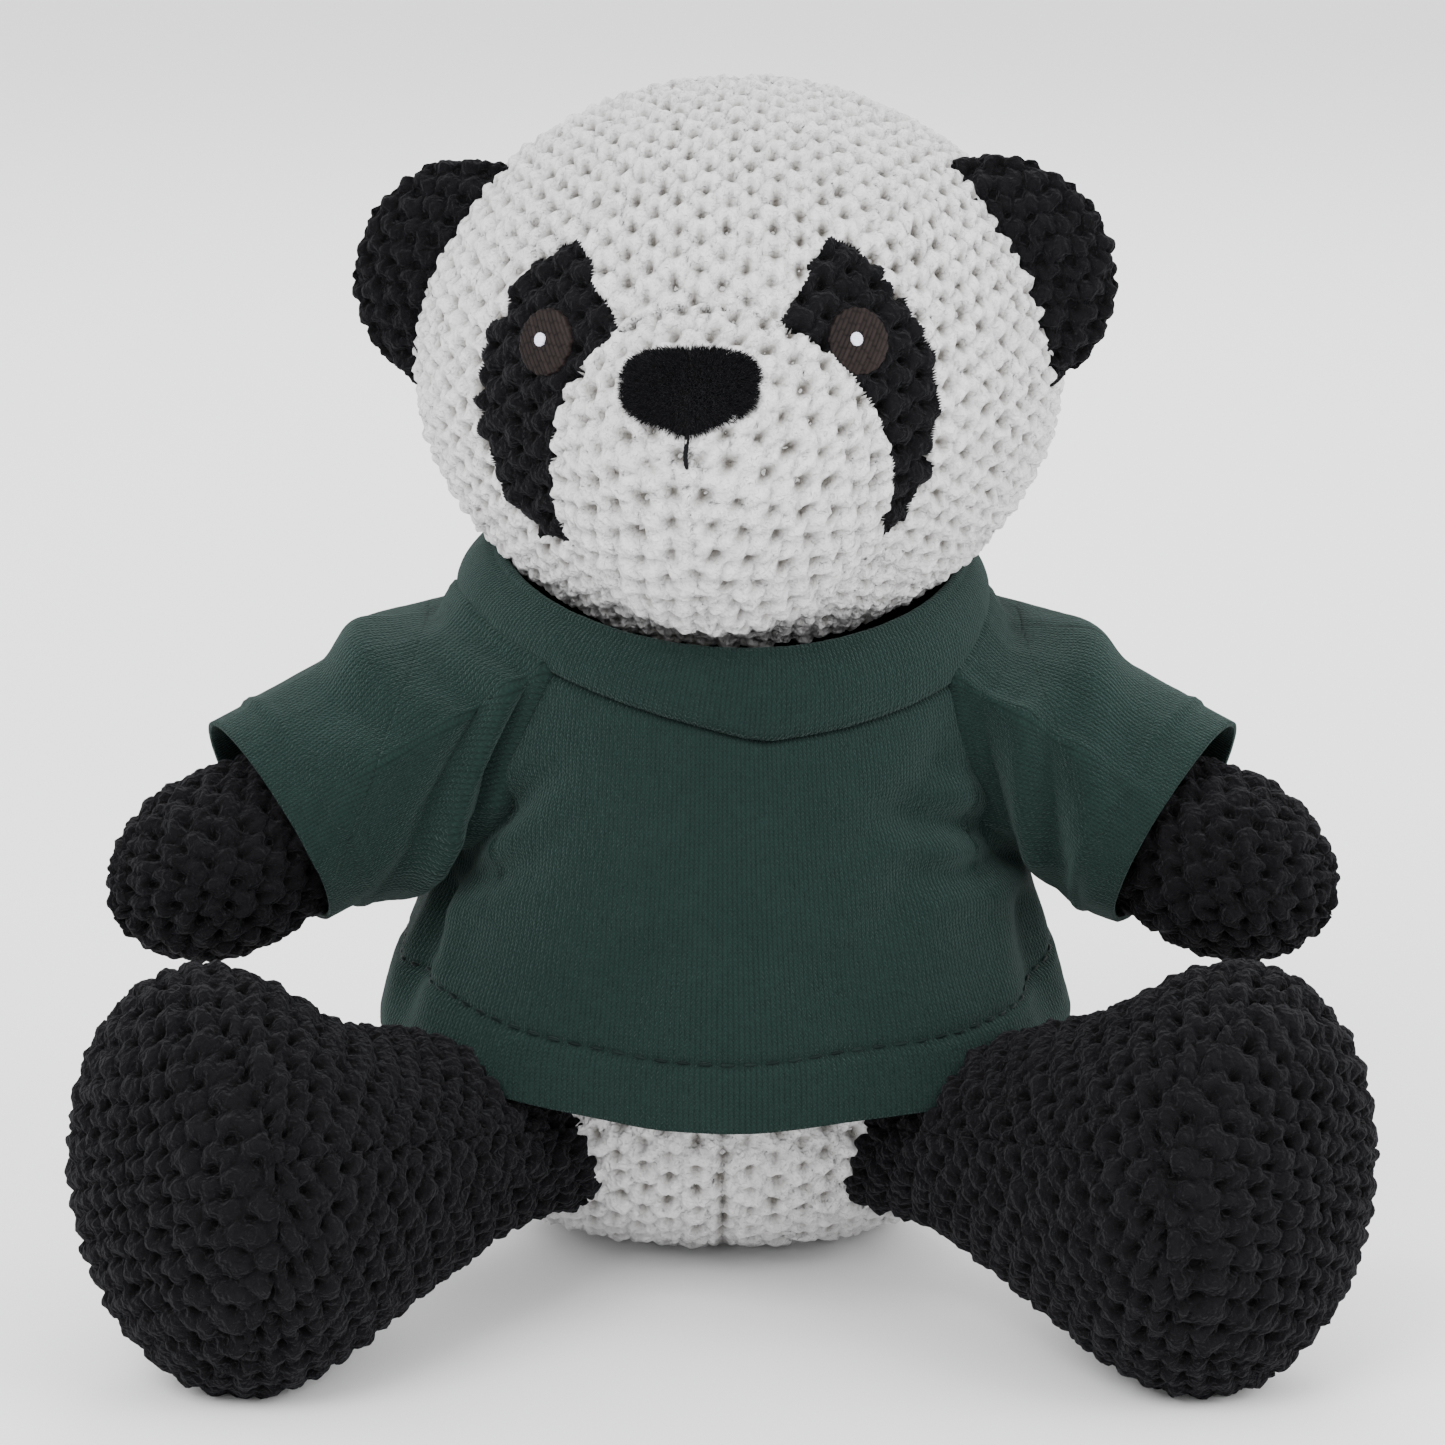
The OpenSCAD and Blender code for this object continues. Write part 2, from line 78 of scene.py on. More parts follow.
TORSO_A = [[0, 21], [1.5, 26.5], [4, 31.5], [8, 36], [14, 40], [25, 43.5], [40, 44.5], [60, 42], [75, 38.5], [85, 33],
           [91, 26], [94, 20.5], [98, 18.2], [102, 17.9]]
TORSO_B = [[0, 15.5], [1.5, 20], [4, 24.5], [8, 29.5], [14, 34.5], [25, 39.5], [40, 40.5], [60, 38.5], [75, 35],
           [85, 30], [91, 24], [94, 19.8], [98, 18.2], [102, 17.9]]
TORSO_Y = [[0, 17.5], [1.5, 15.8], [4, 13.2], [8, 10], [14, 6.5], [25, 3], [40, 1.5], [60, 0.5],
           [85, -1], [94, -2.6], [102, -3]]
ARM_R = [[16, 8.5], [22, 10.4], [32, 12.4], [43, 13.7], [50, 14.7], [55, 14.8], [59, 14.2], [63, 12.6], [66.5, 9.8],
         [69, 6.2], [70.5, 2.5], [70.9, 0.1]]
LEG_A = [[-9, 5], [-6, 9.5], [0, 13], [8, 13.8], [16, 14.8], [22, 16], [32, 18.5], [43, 21.5], [53, 23.8],
         [61, 25.2], [68, 25.7], [74, 24.6], [78, 22.4], [82, 18.5], [85, 13], [87, 6], [87.8, 0.1]]
LEG_B = [[-9, 5], [-6, 9.5], [0, 13], [8, 13.6], [16, 14.4], [22, 15.8], [32, 19.5], [43, 24], [53, 28.6],
         [61, 31.4], [68, 32.3], [74, 30.4], [78, 28], [82, 23], [85, 17], [87, 8], [87.8, 0.1]]
SHIRT_A = [[30, 53.5], [42, 53], [52, 50.5], [62, 47.8], [75, 45], [88, 43], [104, 40.5]]
SHIRT_B = [[30, 49.5], [42, 48.6], [52, 47], [62, 45], [75, 42.8], [88, 41.2], [104, 39.5]]
SHIRT_Y = -2.0
FACE_R, MUZZLE_FACE_R = 46.0, 24.5
LEFT_MUZZLE_WIDTH = np.array([0.86, 1, 1])
CHIN_DROP = 1.6
JERSEY_T = 0.8
WALE, COURSE = 0.73, 0.62
HEM_STITCH = 10.2
CAMERA_PLACE, CAMERA_TARGET, CAMERA_LENS = (0, -0.92565, 0.2984), (0, 0, 0.0847), 152.68
# Each light's name, place in metres, size in metres and power in watts.
LIGHTS = [("key", (-0.55, -0.9, 0.95), 0.7, 15.0), ("side", (0.85, -0.55, 0.6), 0.7, 8.0),
          ("back", (0.1, 0.9, 0.9), 0.8, 8.0)]
YOKE_Z = 62.0

def table(x, rows):
    rows = np.array(rows, float)
    return np.interp(x, rows[:, 0], rows[:, 1])

def unit(v):
    return v / np.linalg.norm(v, axis=-1, keepdims=True)

def ease(x):
    x = np.clip(x, 0, 1)
    return x * x * (3 - 2 * x)

# ---------------------------------------------------------------- seeded noise
def hashed(*keys):
    """0..1 from whole numbers."""
    h = np.zeros(np.broadcast(*keys).shape, np.uint64)
    for k, prime in zip(keys, (73856093, 19349663, 83492791, 49979687)):
        h = h ^ ((np.asarray(k).astype(np.int64) & 0xFFFFFF).astype(np.uint64) * np.uint64(prime))
    h = (h ^ (h >> np.uint64(13))) * np.uint64(1274126177) & np.uint64(0xFFFFFFFF)
    h = (h ^ (h >> np.uint64(16))) * np.uint64(2246822519) & np.uint64(0xFFFFFFFF)
    h = h ^ (h >> np.uint64(15))
    return (h & np.uint64(0xFFFFFF)).astype(float) / 0xFFFFFF

def noise(p, size, seed):
    """Smooth value noise, -1..1, with features of the given size."""
    q = p / size
    i = np.floor(q).astype(np.int64)
    f = q - i
    f = f * f * (3 - 2 * f)
    total = 0
    for dx in (0, 1):
        for dy in (0, 1):
            for dz in (0, 1):
                w = ((f[:, 0] if dx else 1 - f[:, 0]) * (f[:, 1] if dy else 1 - f[:, 1])
                     * (f[:, 2] if dz else 1 - f[:, 2]))
                total = total + w * hashed(i[:, 0] + dx, i[:, 1] + dy, i[:, 2] + dz, seed)
    return total * 2 - 1

# ---------------------------------------------------------------- meshes
def normals_of(p, tris):
    a, b, c = (p[tris[:, k]] for k in range(3))
    face = np.cross(b - a, c - a)
    n = np.zeros_like(p)
    for k in range(3):
        np.add.at(n, tris[:, k], face)
    return n / np.maximum(np.linalg.norm(n, axis=1, keepdims=True), 1e-12)

def grid_tris(nu, nv, closed=False):
    """Triangles of nu rows of nv points; closed joins the last column to the first."""
    i, j = np.meshgrid(np.arange(nu - 1), np.arange(nv if closed else nv - 1), indexing="ij")
    i, j = i.ravel(), j.ravel()
    k = (j + 1) % nv
    a, b, c, d = i * nv + j, i * nv + k, (i + 1) * nv + k, (i + 1) * nv + j
    return np.concatenate([np.stack([a, b, c], 1), np.stack([a, c, d], 1)])

def cube_sphere(n):
    """Unit directions spread evenly, and their triangles."""
    g = np.arange(n + 1)
    a, b = (m.ravel() for m in np.meshgrid(g, g, indexing="ij"))
    points, tris, base = [], [], 0
    for axis in range(3):
        for side in (0, n):
            p = np.empty((len(a), 3), int)
            p[:, axis], p[:, (axis + 1) % 3], p[:, (axis + 2) % 3] = side, a, b
            t = grid_tris(n + 1, n + 1)
            tris.append((t if side == 0 else t[:, ::-1]) + base)
            points.append(p)
            base += len(a)
    unique, back = np.unique(np.concatenate(points), axis=0, return_inverse=True)
    return unit(np.tan((unique / n * 2 - 1) * math.pi / 4)), back.ravel()[np.concatenate(tris)]

def cut(tris, *arrays):
    """Keeps only the points that the triangles use."""
    used, back = np.unique(tris, return_inverse=True)
    return back.reshape(-1, 3), [a[used] for a in arrays]

def rim_edges(tris):
    e = np.concatenate([tris[:, [0, 1]], tris[:, [1, 2]], tris[:, [2, 0]]])
    top = int(tris.max()) + 1
    key, reverse = e[:, 0] * top + e[:, 1], e[:, 1] * top + e[:, 0]
    return e[~np.isin(key, reverse)]

def shell(tris, outer, inner):
    """A closed skin from an outer and an inner face."""
    n = len(outer)
    e = rim_edges(tris)
    a, b = e[:, 0], e[:, 1]
    rim = np.concatenate([np.stack([b, a, a + n], 1), np.stack([b, a + n, b + n], 1)])
    return np.concatenate([tris, tris[:, ::-1] + n, rim]), np.concatenate([outer, inner])

def make(name, points, tris, material, values=None, uv=None):
    """A smooth mesh from points in mm, with named point values."""
    me = bpy.data.meshes.new(name)
    me.vertices.add(len(points))
    me.vertices.foreach_set("co", (points * MM).astype(np.float32).ravel())
    me.loops.add(tris.size)
    me.loops.foreach_set("vertex_index", tris.astype(np.int32).ravel())
    me.polygons.add(len(tris))
    me.polygons.foreach_set("loop_start", np.arange(0, tris.size, 3, dtype=np.int32))
    me.polygons.foreach_set("loop_total", np.full(len(tris), 3, np.int32))
    me.update(calc_edges=True)
    me.polygons.foreach_set("use_smooth", np.ones(len(tris), bool))
    for key, v in (values or {}).items():
        me.attributes.new(key, "FLOAT", "POINT").data.foreach_set("value", v.astype(np.float32))
    if uv is not None:
        me.uv_layers.new(name="cloth").data.foreach_set("uv", uv[tris.ravel()].astype(np.float32).ravel())
    me.materials.append(material)
    o = bpy.data.objects.new(name, me)
    bpy.context.scene.collection.objects.link(o)
    return o

# ---------------------------------------------------------------- materials
class Nodes:
    """Short ways to add nodes to a new principled material."""

    def __init__(self, name, rough=0.9, sheen=0.0, sheen_rough=0.5, sheen_tint=(1, 1, 1)):
        self.mat = bpy.data.materials.new(name)
        self.mat.use_nodes = True
        self.tree = self.mat.node_tree
        self.out = self.tree.nodes["Principled BSDF"]
        self.out.inputs["Roughness"].default_value = rough
        self.out.inputs["Specular IOR Level"].default_value = 0.08
        self.out.inputs["Sheen Weight"].default_value = sheen
        self.out.inputs["Sheen Roughness"].default_value = sheen_rough
        self.out.inputs["Sheen Tint"].default_value = (*sheen_tint, 1)

    def put(self, value, socket):
        if isinstance(value, bpy.types.NodeSocket):
            self.tree.links.new(value, socket)
        else:
            socket.default_value = value

    def math(self, op, a, b=0.0, clamp=False):
        n = self.tree.nodes.new("ShaderNodeMath")
        n.operation, n.use_clamp = op, clamp
        self.put(a, n.inputs[0])
        self.put(b, n.inputs[1])
        return n.outputs[0]

    def value(self, name):
        n = self.tree.nodes.new("ShaderNodeAttribute")
        n.attribute_name = name
        return n.outputs["Fac"]

    def place(self, output="Object"):
        return self.tree.nodes.new("ShaderNodeTexCoord").outputs[output]

    def noise(self, scale, detail=2.0, vector=None):
        n = self.tree.nodes.new("ShaderNodeTexNoise")
        self.put(vector or self.place(), n.inputs["Vector"])
        n.inputs["Scale"].default_value = scale
        n.inputs["Detail"].default_value = detail
        return n.outputs["Fac"]

    def cells(self, scale):
        n = self.tree.nodes.new("ShaderNodeTexVoronoi")
        self.put(self.place(), n.inputs["Vector"])
        n.inputs["Scale"].default_value = scale
        return n.outputs["Distance"]

    def mix(self, k, a, b):
        n = self.tree.nodes.new("ShaderNodeMix")
        n.data_type = "RGBA"
        self.put(k, n.inputs["Factor"])
        self.put(a if isinstance(a, bpy.types.NodeSocket) else (*a, 1), n.inputs["A"])
        self.put(b if isinstance(b, bpy.types.NodeSocket) else (*b, 1), n.inputs["B"])
        return n.outputs["Result"]

    def colour(self, socket):
        self.put(socket, self.out.inputs["Base Color"])

    def bump(self, height, distance, strength=1.0, under=None):
        n = self.tree.nodes.new("ShaderNodeBump")
        n.inputs["Distance"].default_value = distance
        n.inputs["Strength"].default_value = strength
        self.put(height, n.inputs["Height"])
        if under is not None:
            self.put(under, n.inputs["Normal"])
        self.put(n.outputs[0], self.out.inputs["Normal"])
        return n.outputs[0]

def chenille(name, low, high, pit, sheen, tint):
    """Looped chenille knit: puffs vary in tone; pits and puff edges mix in the pit colour, the backing's own colour
    deepened by painted shade.
    """
    m = Nodes(name, 0.95, sheen, 0.45, tint)
    fibre = m.noise(1300, 5)
    tufts = m.cells(1150)
    tone = m.math("ADD", m.math("MULTIPLY", m.value("tone"), 0.55), m.math("MULTIPLY", fibre, 0.5), True)
    base = m.mix(tone, low, high)
    base = m.mix(m.math("MULTIPLY", m.noise(60), 0.25), base, low)
    # Painted shade: crevice_shade mixes the pit colour into the pits, puff edges and seams.
    m.colour(m.mix(m.value("crevice_shade"), base, pit))
    first = m.bump(tufts, 0.0006, 0.8)
    m.bump(fibre, 0.0008, 1.0, first)
    return m.mat

def jersey(name, low, high, gap):
    """Fine single jersey: V stitches in upright wales and level courses, with painted shade between the wales and along
    the seams.
    """
    m = Nodes(name, 0.9, 0.12, 0.4, (0.55, 0.8, 0.74))
    split = m.tree.nodes.new("ShaderNodeSeparateXYZ")
    m.put(m.place("UV"), split.inputs[0])
    u, v = split.outputs[0], split.outputs[1]
    across = m.math("FRACT", m.math("DIVIDE", u, WALE))
    leg = m.math("ABSOLUTE", m.math("SUBTRACT", across, 0.5))
    wale = m.math("SUBTRACT", 1.0, m.math("POWER", m.math("MULTIPLY", leg, 2.0), 3.0))
    slope = m.math("ADD", m.math("DIVIDE", v, COURSE), m.math("MULTIPLY", leg, 1.6))
    course = m.math("ADD", m.math("MULTIPLY", m.math("SINE", m.math("MULTIPLY", slope, 2 * math.pi)), 0.5), 0.5)
    yarn = m.math("MULTIPLY", wale, m.math("ADD", m.math("MULTIPLY", course, 0.55), 0.45))
    tone = m.math("ADD", m.math("MULTIPLY", m.noise(120, 3), 0.6), m.math("MULTIPLY", m.noise(1800, 2), 0.4))
    base = m.mix(tone, low, high)
    # Painted shade: the gap colour darkens the grooves between wales.
    wale_gap_shade = m.math("MULTIPLY", m.math("SUBTRACT", 1.0, yarn, True),
                  m.math("ADD", m.math("MULTIPLY", m.noise(700, 3), 0.9), 0.1))
    # Painted shade along seams and creases: crevice_shade mixes in the gap colour.
    m.colour(m.mix(m.value("crevice_shade"), m.mix(wale_gap_shade, base, gap), gap))
    first = m.bump(yarn, 0.00022, 0.9)
    m.bump(m.noise(1900, 5), 0.0004, 0.9, first)
    return m.mat

def thread(name, low, high, sheen=0.3):
    m = Nodes(name, 0.55, sheen, 0.3)
    m.out.inputs["Specular IOR Level"].default_value = 0.09
    m.colour(m.mix(m.value("tone"), low, high))
    m.bump(m.noise(5000, 2), 0.00008, 0.5)
    return m.mat

def fibrefill(name):
    m = Nodes(name, 0.9, 0.6, 0.5)
    m.colour(m.mix(m.noise(300, 4), (0.72, 0.72, 0.7), (0.9, 0.9, 0.88)))
    m.bump(m.noise(900, 6), 0.0008, 0.9)
    return m.mat

# The third colour of each chenille is the pits' colour: the backing's own tone darkened as painted shade.
WHITE = chenille("white_chenille", (0.63, 0.62, 0.62), (0.84, 0.83, 0.84), (0.13, 0.12, 0.105), 0.15, (1, 1, 1))
BLACK = chenille("black_chenille", (0.0022, 0.0021, 0.0025), (0.0072, 0.0070, 0.0083), (0.0004, 0.0004, 0.0005), 0.06,
                 (0.5, 0.5, 0.56))
# The third colour is the dark green of the painted shade in wale gaps and seams.
GREEN = jersey("green_jersey", (0.0068, 0.0178, 0.0150), (0.0130, 0.0272, 0.0236), (0.0018, 0.0046, 0.0040))
GREEN_THREAD = thread("green_thread", (0.0012, 0.0048, 0.0042), (0.0048, 0.0120, 0.0105), 0.1)
BROWN = thread("brown_thread", (0.0030, 0.0018, 0.0017), (0.021, 0.0145, 0.0135), 0.06)
BLUE_WHITE = thread("white_thread", (0.62, 0.62, 0.75), (0.86, 0.87, 1.0), 0.5)
FILL = fibrefill("fibrefill")

def soft_black():
    m = Nodes("nose_pile", 0.7, 0.15, 0.35, (0.55, 0.55, 0.62))
    m.colour(m.mix(m.value("tone"), (0.0012, 0.0012, 0.0014), (0.013, 0.013, 0.016)))
    m.bump(m.noise(3000, 3), 0.0002, 0.6)
    return m.mat

def pellet_cloth():
    m = Nodes("pellet_cloth", 0.85, 0.1)
    m.colour(m.mix(m.noise(500, 3), (0.62, 0.55, 0.44), (0.75, 0.70, 0.60)))
    m.bump(m.cells(420), 0.0006, 0.8)
    return m.mat

NOSE_BLACK, PELLETS = soft_black(), pellet_cloth()

# ---------------------------------------------------------------- the knit
PITCH_X, PITCH_Y = 3.9, 4.8

def nearest(x, y, seed, shift, flat):
    """Distance to the nearest and next point of the staggered lattice, and the nearest one's numbers and place."""
    first, second = np.full(x.shape, 99.0), np.full(x.shape, 99.0)
    at = np.zeros((4, x.size))
    i0 = np.round(x / PITCH_X)
    for di in (-1, 0, 1):
        i = i0 + di
        off = 0.5 * np.mod(i, 2) + shift
        j0 = np.round(y / PITCH_Y - off)
        for dj in (-1, 0, 1):
            j = j0 + dj
            px = i * PITCH_X + (hashed(i, j, seed) - 0.5) * 0.9
            py = (j + off) * PITCH_Y + (hashed(i, j, seed + 1) - 0.5) * 1.0
            d = np.hypot(x - px, (y - py) / flat)
            closer = d < first
            second = np.where(closer, first, np.minimum(second, d))
            first = np.where(closer, d, first)
            at = np.where(closer, np.stack([i, j, px, py]), at)
    return first, second, at

def knit(p, n, x, y, seed, turn=0.0, seam=None, tall=1.0):
    """Puffs and pits on points p with normals n; x and y are the panel's flat coordinates in mm."""
    x = x + 0.38 * noise(p, 2.4, seed + 20)
    y = y + 0.38 * noise(p, 2.4, seed + 21)
    c, s = math.cos(turn), math.sin(turn)
    u, v = c * x + s * y, c * y - s * x
    f1, f2, at = nearest(u, v, seed, 0.0, 1.1)
    pit_d, _, where = nearest(u, v, seed + 7, 0.5, 2.05)
    edge = f2 - f1
    depth = 0.55 + 0.75 * hashed(where[0], where[1], seed + 3)
    pit = np.exp(-(pit_d / 0.72) ** 2)
    h = 0.74 * (1 - np.exp(-edge / 0.8)) + 0.6 * (1 - np.minimum(1.2, (f1 / 2.5) ** 2)) - 1.5 * depth * pit
    h = h + 0.40 * noise(p, 1.5, seed + 4) + 0.30 * noise(p, 0.85, seed + 5) - 0.6
    # Painted shade: crevice_shade darkens the pits, where the backing also shows, and the edges between puffs.
    crevice_shade = np.clip(pit * depth * 1.05 + 0.42 * np.exp(-edge / 0.4), 0, 1)
    if seam is not None:
        # The seam groove is sunk and also gets painted shade.
        groove = np.exp(-(seam / 0.8) ** 2)
        h, crevice_shade = h - 0.8 * groove, np.clip(crevice_shade + 0.3 * groove, 0, 1)
    tone = np.clip(0.5 + 0.5 * (hashed(at[0], at[1], seed + 6) - 0.5) + 0.35 * noise(p, 0.9, seed + 8), 0, 1)
    cx, cy = c * at[2] - s * at[3], s * at[2] + c * at[3]
    return p + n * (h * tall)[:, None], crevice_shade, tone, cx, cy

def skin(name, tris, p, base, n, crevice_shade, tone, thick, material, body, node):
    """A closed panel of knit riding on a body, standing for a CAD node."""
    tris, (p, base, n, crevice_shade, tone) = cut(tris, p, base, n, crevice_shade, tone)
    inner = base - n * thick
    both, points = shell(tris, p, inner)
    zero = np.zeros(len(p))
    o = make(name, points, both, material,
             {"crevice_shade": np.concatenate([crevice_shade, zero]), "tone": np.concatenate([tone, zero])})
    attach(o, body)
    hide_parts(node)
    return o

def wad(grid, body, node):
    """A closed lumpy wad of fibre that fills a skin given as rows of rings."""
    grid = grid[2::4, ::5]
    rows, cols = grid.shape[:2]
    p = grid.reshape(-1, 3)
    tris = grid_tris(rows, cols, True)
    if np.einsum("ij,ij->i", normals_of(p, tris), p - p.mean(axis=0)).sum() < 0:
        tris = tris[:, ::-1]
    n = normals_of(p, tris)
    p = p - n * (3.3 + 0.5 * noise(p, 5.0, 91) + 0.3 * noise(p, 2.2, 92))[:, None]
    tips = np.stack([p[:cols].mean(axis=0), p[-cols:].mean(axis=0)])
    i = np.arange(cols)
    j = (i + 1) % cols
    a, b = rows * cols + 0 * i, rows * cols + 1 + 0 * i
    ends = np.concatenate([np.stack([a, j, i], 1), np.stack([b, i + (rows - 1) * cols, j + (rows - 1) * cols], 1)])
    if not np.array_equal(tris[0], grid_tris(rows, cols, True)[0]):
        ends = ends[:, ::-1]
    o = make(node + "_fill", np.concatenate([p, tips]), np.concatenate([tris, ends]), FILL)
    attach(o, body)
    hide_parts(node)

# ---------------------------------------------------------------- head
def rot_z(a):
    c, s = math.cos(math.radians(a)), math.sin(math.radians(a))
    return np.array([[c, -s, 0], [s, c, 0], [0, 0, 1]])

def rot_y(a):
    c, s = math.cos(math.radians(a)), math.sin(math.radians(a))
    return np.array([[c, 0, s], [0, 1, 0], [-s, 0, c]])

HEAD_M = rot_z(HEAD_TURN) @ rot_y(HEAD_TILT)

def head_world(p):
    return p @ HEAD_M.T + HEAD_P

def head_reach(n):
    """Distances from the head's centre to the skull and to the muzzle, along directions n."""
    skull = 1 / np.linalg.norm(n / HEAD_R, axis=1)
    size = np.where((n[:, 0] < 0)[:, None], MUZZLE_R * LEFT_MUZZLE_WIDTH, MUZZLE_R)
    a = np.sum((n / size) ** 2, axis=1)
    b = -2 * np.sum(n * MUZZLE_P / size ** 2, axis=1)
    c = np.sum((MUZZLE_P / MUZZLE_R) ** 2) - 1
    root = b * b - 4 * a * c
    return skull, np.where(root > 0, (-b + np.sqrt(np.maximum(root, 0))) / (2 * a), 0)

def flat_map(n, pitch):
    """Equidistant map round the face's own axis, raised by pitch degrees; the back maps round the back."""
    a = math.radians(pitch)
    fwd = np.array([0, -math.cos(a), math.sin(a)])
    up = np.array([0, math.sin(a), math.cos(a)])
    theta = np.arccos(np.clip(n @ fwd, -1, 1))
    x, y = n[:, 0], n @ up
    k = FACE_R * theta / np.maximum(np.hypot(x, y), 1e-9)
    return k * x, k * y

def unmap(x, y, pitch):
    a = math.radians(pitch)
    fwd = np.array([0, -math.cos(a), math.sin(a)])
    up = np.array([0, math.sin(a), math.cos(a)])
    r = np.hypot(x, y)
    k = np.sin(r / FACE_R) / np.maximum(r, 1e-9)
    return (k * x)[:, None] * np.array([1, 0, 0]) + (k * y)[:, None] * up + np.cos(r / FACE_R)[:, None] * fwd

def in_patch(n):
    az, el = np.degrees(np.arctan2(n[:, 0], -n[:, 1])), np.degrees(np.arcsin(np.clip(n[:, 2], -1, 1)))
    outer = np.where(az < 0, 48.6, 47.4) - 0.0122 * (el + 3) ** 2
    inner = np.where(el > 14, 14.5 + 0.78 * (el - 14), 14.5 + 0.2 * (14 - el))
    return (np.abs(az) > inner) & (np.abs(az) < outer) & (el > -28) & (el < 31.5) & (n[:, 1] < 0)

def build_head():
    n, tris = cube_sphere(136)
    skull, snout = head_reach(n)
    reach = 0.5 * (skull + snout + np.hypot(skull - snout, 2.2))
    base = n * reach[:, None]
    chin = np.exp(-(base[:, 0] / 24) ** 2) * np.clip((-18 - base[:, 2]) / 14, 0, 1)
    chin = chin * np.clip((-4 - base[:, 1]) / 12, 0, 1)
    base[:, 2] -= CHIN_DROP * chin
    nrm = normals_of(base, tris)
    muzzle = (snout > skull) & (n[:, 1] < 0)
    back = (base[:, 1] > 0) & ~muzzle
    side = np.where(base[:, 0] > 0, 1, -1)
    zone = np.where(muzzle, np.where(side > 0, 2, 1), np.where(back, np.where(side > 0, 4, 3), 0))
    p, crevice_shade, tone = base.copy(), np.zeros(len(n)), np.zeros(len(n))
    black = np.zeros(len(n), bool)
    crease = np.abs(skull - snout) / 1.2
    seams = {0: np.minimum(np.abs(base[:, 1]), crease + 1.0), 1: crease + 1.1,
             3: np.minimum(np.abs(base[:, 1]), np.abs(base[:, 0]))}
    seams[2], seams[4] = seams[1], seams[3]
    for z in range(5):
        m = zone == z
        if z == 0:
            x, y = flat_map(n[m], 6)
            turn, tall = 0.0, 1.0
        elif z < 3:
            d = unit(base[m] - MUZZLE_P)
            x, y = (a * MUZZLE_FACE_R / FACE_R for a in flat_map(d, -8))
            turn, tall = (-0.86 if z == 2 else 0.86), 1.1
        else:
            x, y = flat_map(n[m] * np.array([1, -1, 1]), 0)
            turn, tall = 0.0, 1.0
        p[m], crevice_shade[m], tone[m], cx, cy = knit(base[m], nrm[m], x, y, 11 + z, turn, seams[z][m], tall)
        if z == 0:
            mixed = unmap(0.6 * x + 0.4 * cx, 0.6 * y + 0.4 * cy, 6)
            black[m] = in_patch(mixed)
    for s in (-1, 1):
        eye = unit(on_skull(rad(IRIS_AZ) * s, rad(IRIS_EL), np.array(0.0))[0])
        bed = ease((np.degrees(np.arccos(np.clip(n @ eye, -1, 1))) - 5.6) / 2.2)[:, None]
        p = p * bed + (base + nrm * 0.1) * (1 - bed)
    hole = math.cos(math.radians(NECK_HOLE))
    keep = ~np.all(n[tris][:, :, 2] < -hole, axis=1)
    centre_zone = np.sort(zone[tris], axis=1)[:, 1]
    dark = (black[tris].sum(axis=1) >= 2) & (centre_zone == 0)
    world, base_w, nrm_w = head_world(p), head_world(base), nrm @ HEAD_M.T
    names = {0: "head_front", 1: "muzzle_left", 2: "muzzle_right", 3: "head_back_left", 4: "head_back_right"}
    for z, node in names.items():
        pick = keep & (centre_zone == z) & ~dark
        skin(node + "_skin", tris[pick], world, base_w, nrm_w, crevice_shade, tone, 1.7, WHITE, "head", node)
    for s, node in ((-1, "eye_patch_left"), (1, "eye_patch_right")):
        pick = keep & dark & (n[tris].mean(axis=1)[:, 0] * s > 0)
        skin(node + "_pile", tris[pick], world, base_w, nrm_w, crevice_shade, tone, 1.7, BLACK, "head", node)

def ear_skins(side, name):
    n, tris = cube_sphere(54)
    n = n[:, [0, 2, 1]] * np.array([1, 1, 1])
    tris = tris[:, ::-1]
    base = n * np.array([EAR_R, 5.2, EAR_R + 0.2])
    rho = np.hypot(n[:, 0], n[:, 2])
    base[:, 1] *= 0.72 + 0.28 * (1 - rho ** 4)
    nrm = normals_of(base, tris)
    scale = math.pi / 2 * 0.92
    p, crevice_shade, tone, _, _ = knit(base, nrm, base[:, 0] * scale / 1.25 + 60 * np.sign(base[:, 1]),
                              base[:, 2] * scale / 1.25, 31 + side, 0.12, np.abs(base[:, 1]) * 0.9, 1.05)
    lean = rot_y(-EAR_LEAN)
    flip = np.array([side, 1, 1])
    if side < 0:
        tris = tris[:, ::-1]

    def placed(q):
        return (q @ lean.T + EAR_P) * flip

    local = placed(base)
    level = np.linalg.norm(local / HEAD_R, axis=1)
    keep = ~np.all(level[tris] < 0.93, axis=1)
    world, base_w = head_world(placed(p)), head_world(local)
    nrm_w = ((nrm @ lean.T) * flip) @ HEAD_M.T
    front = base[tris].mean(axis=1)[:, 1] < 0
    for face, pick in (("front", front), ("back", ~front)):
        node = f"ear_{face}_{name}"
        skin(node + "_skin", tris[keep & pick], world, base_w, nrm_w, crevice_shade, tone, 0.9, BLACK,
             "ear_" + name, node)

def on_skull(az, el, lift):
    d = np.stack([np.cos(el) * np.sin(az), -np.cos(el) * np.cos(az), np.sin(el)], -1)
    p = d * HEAD_R
    n = unit(p / HEAD_R ** 2)
    return p + n * np.asarray(lift)[..., None], n

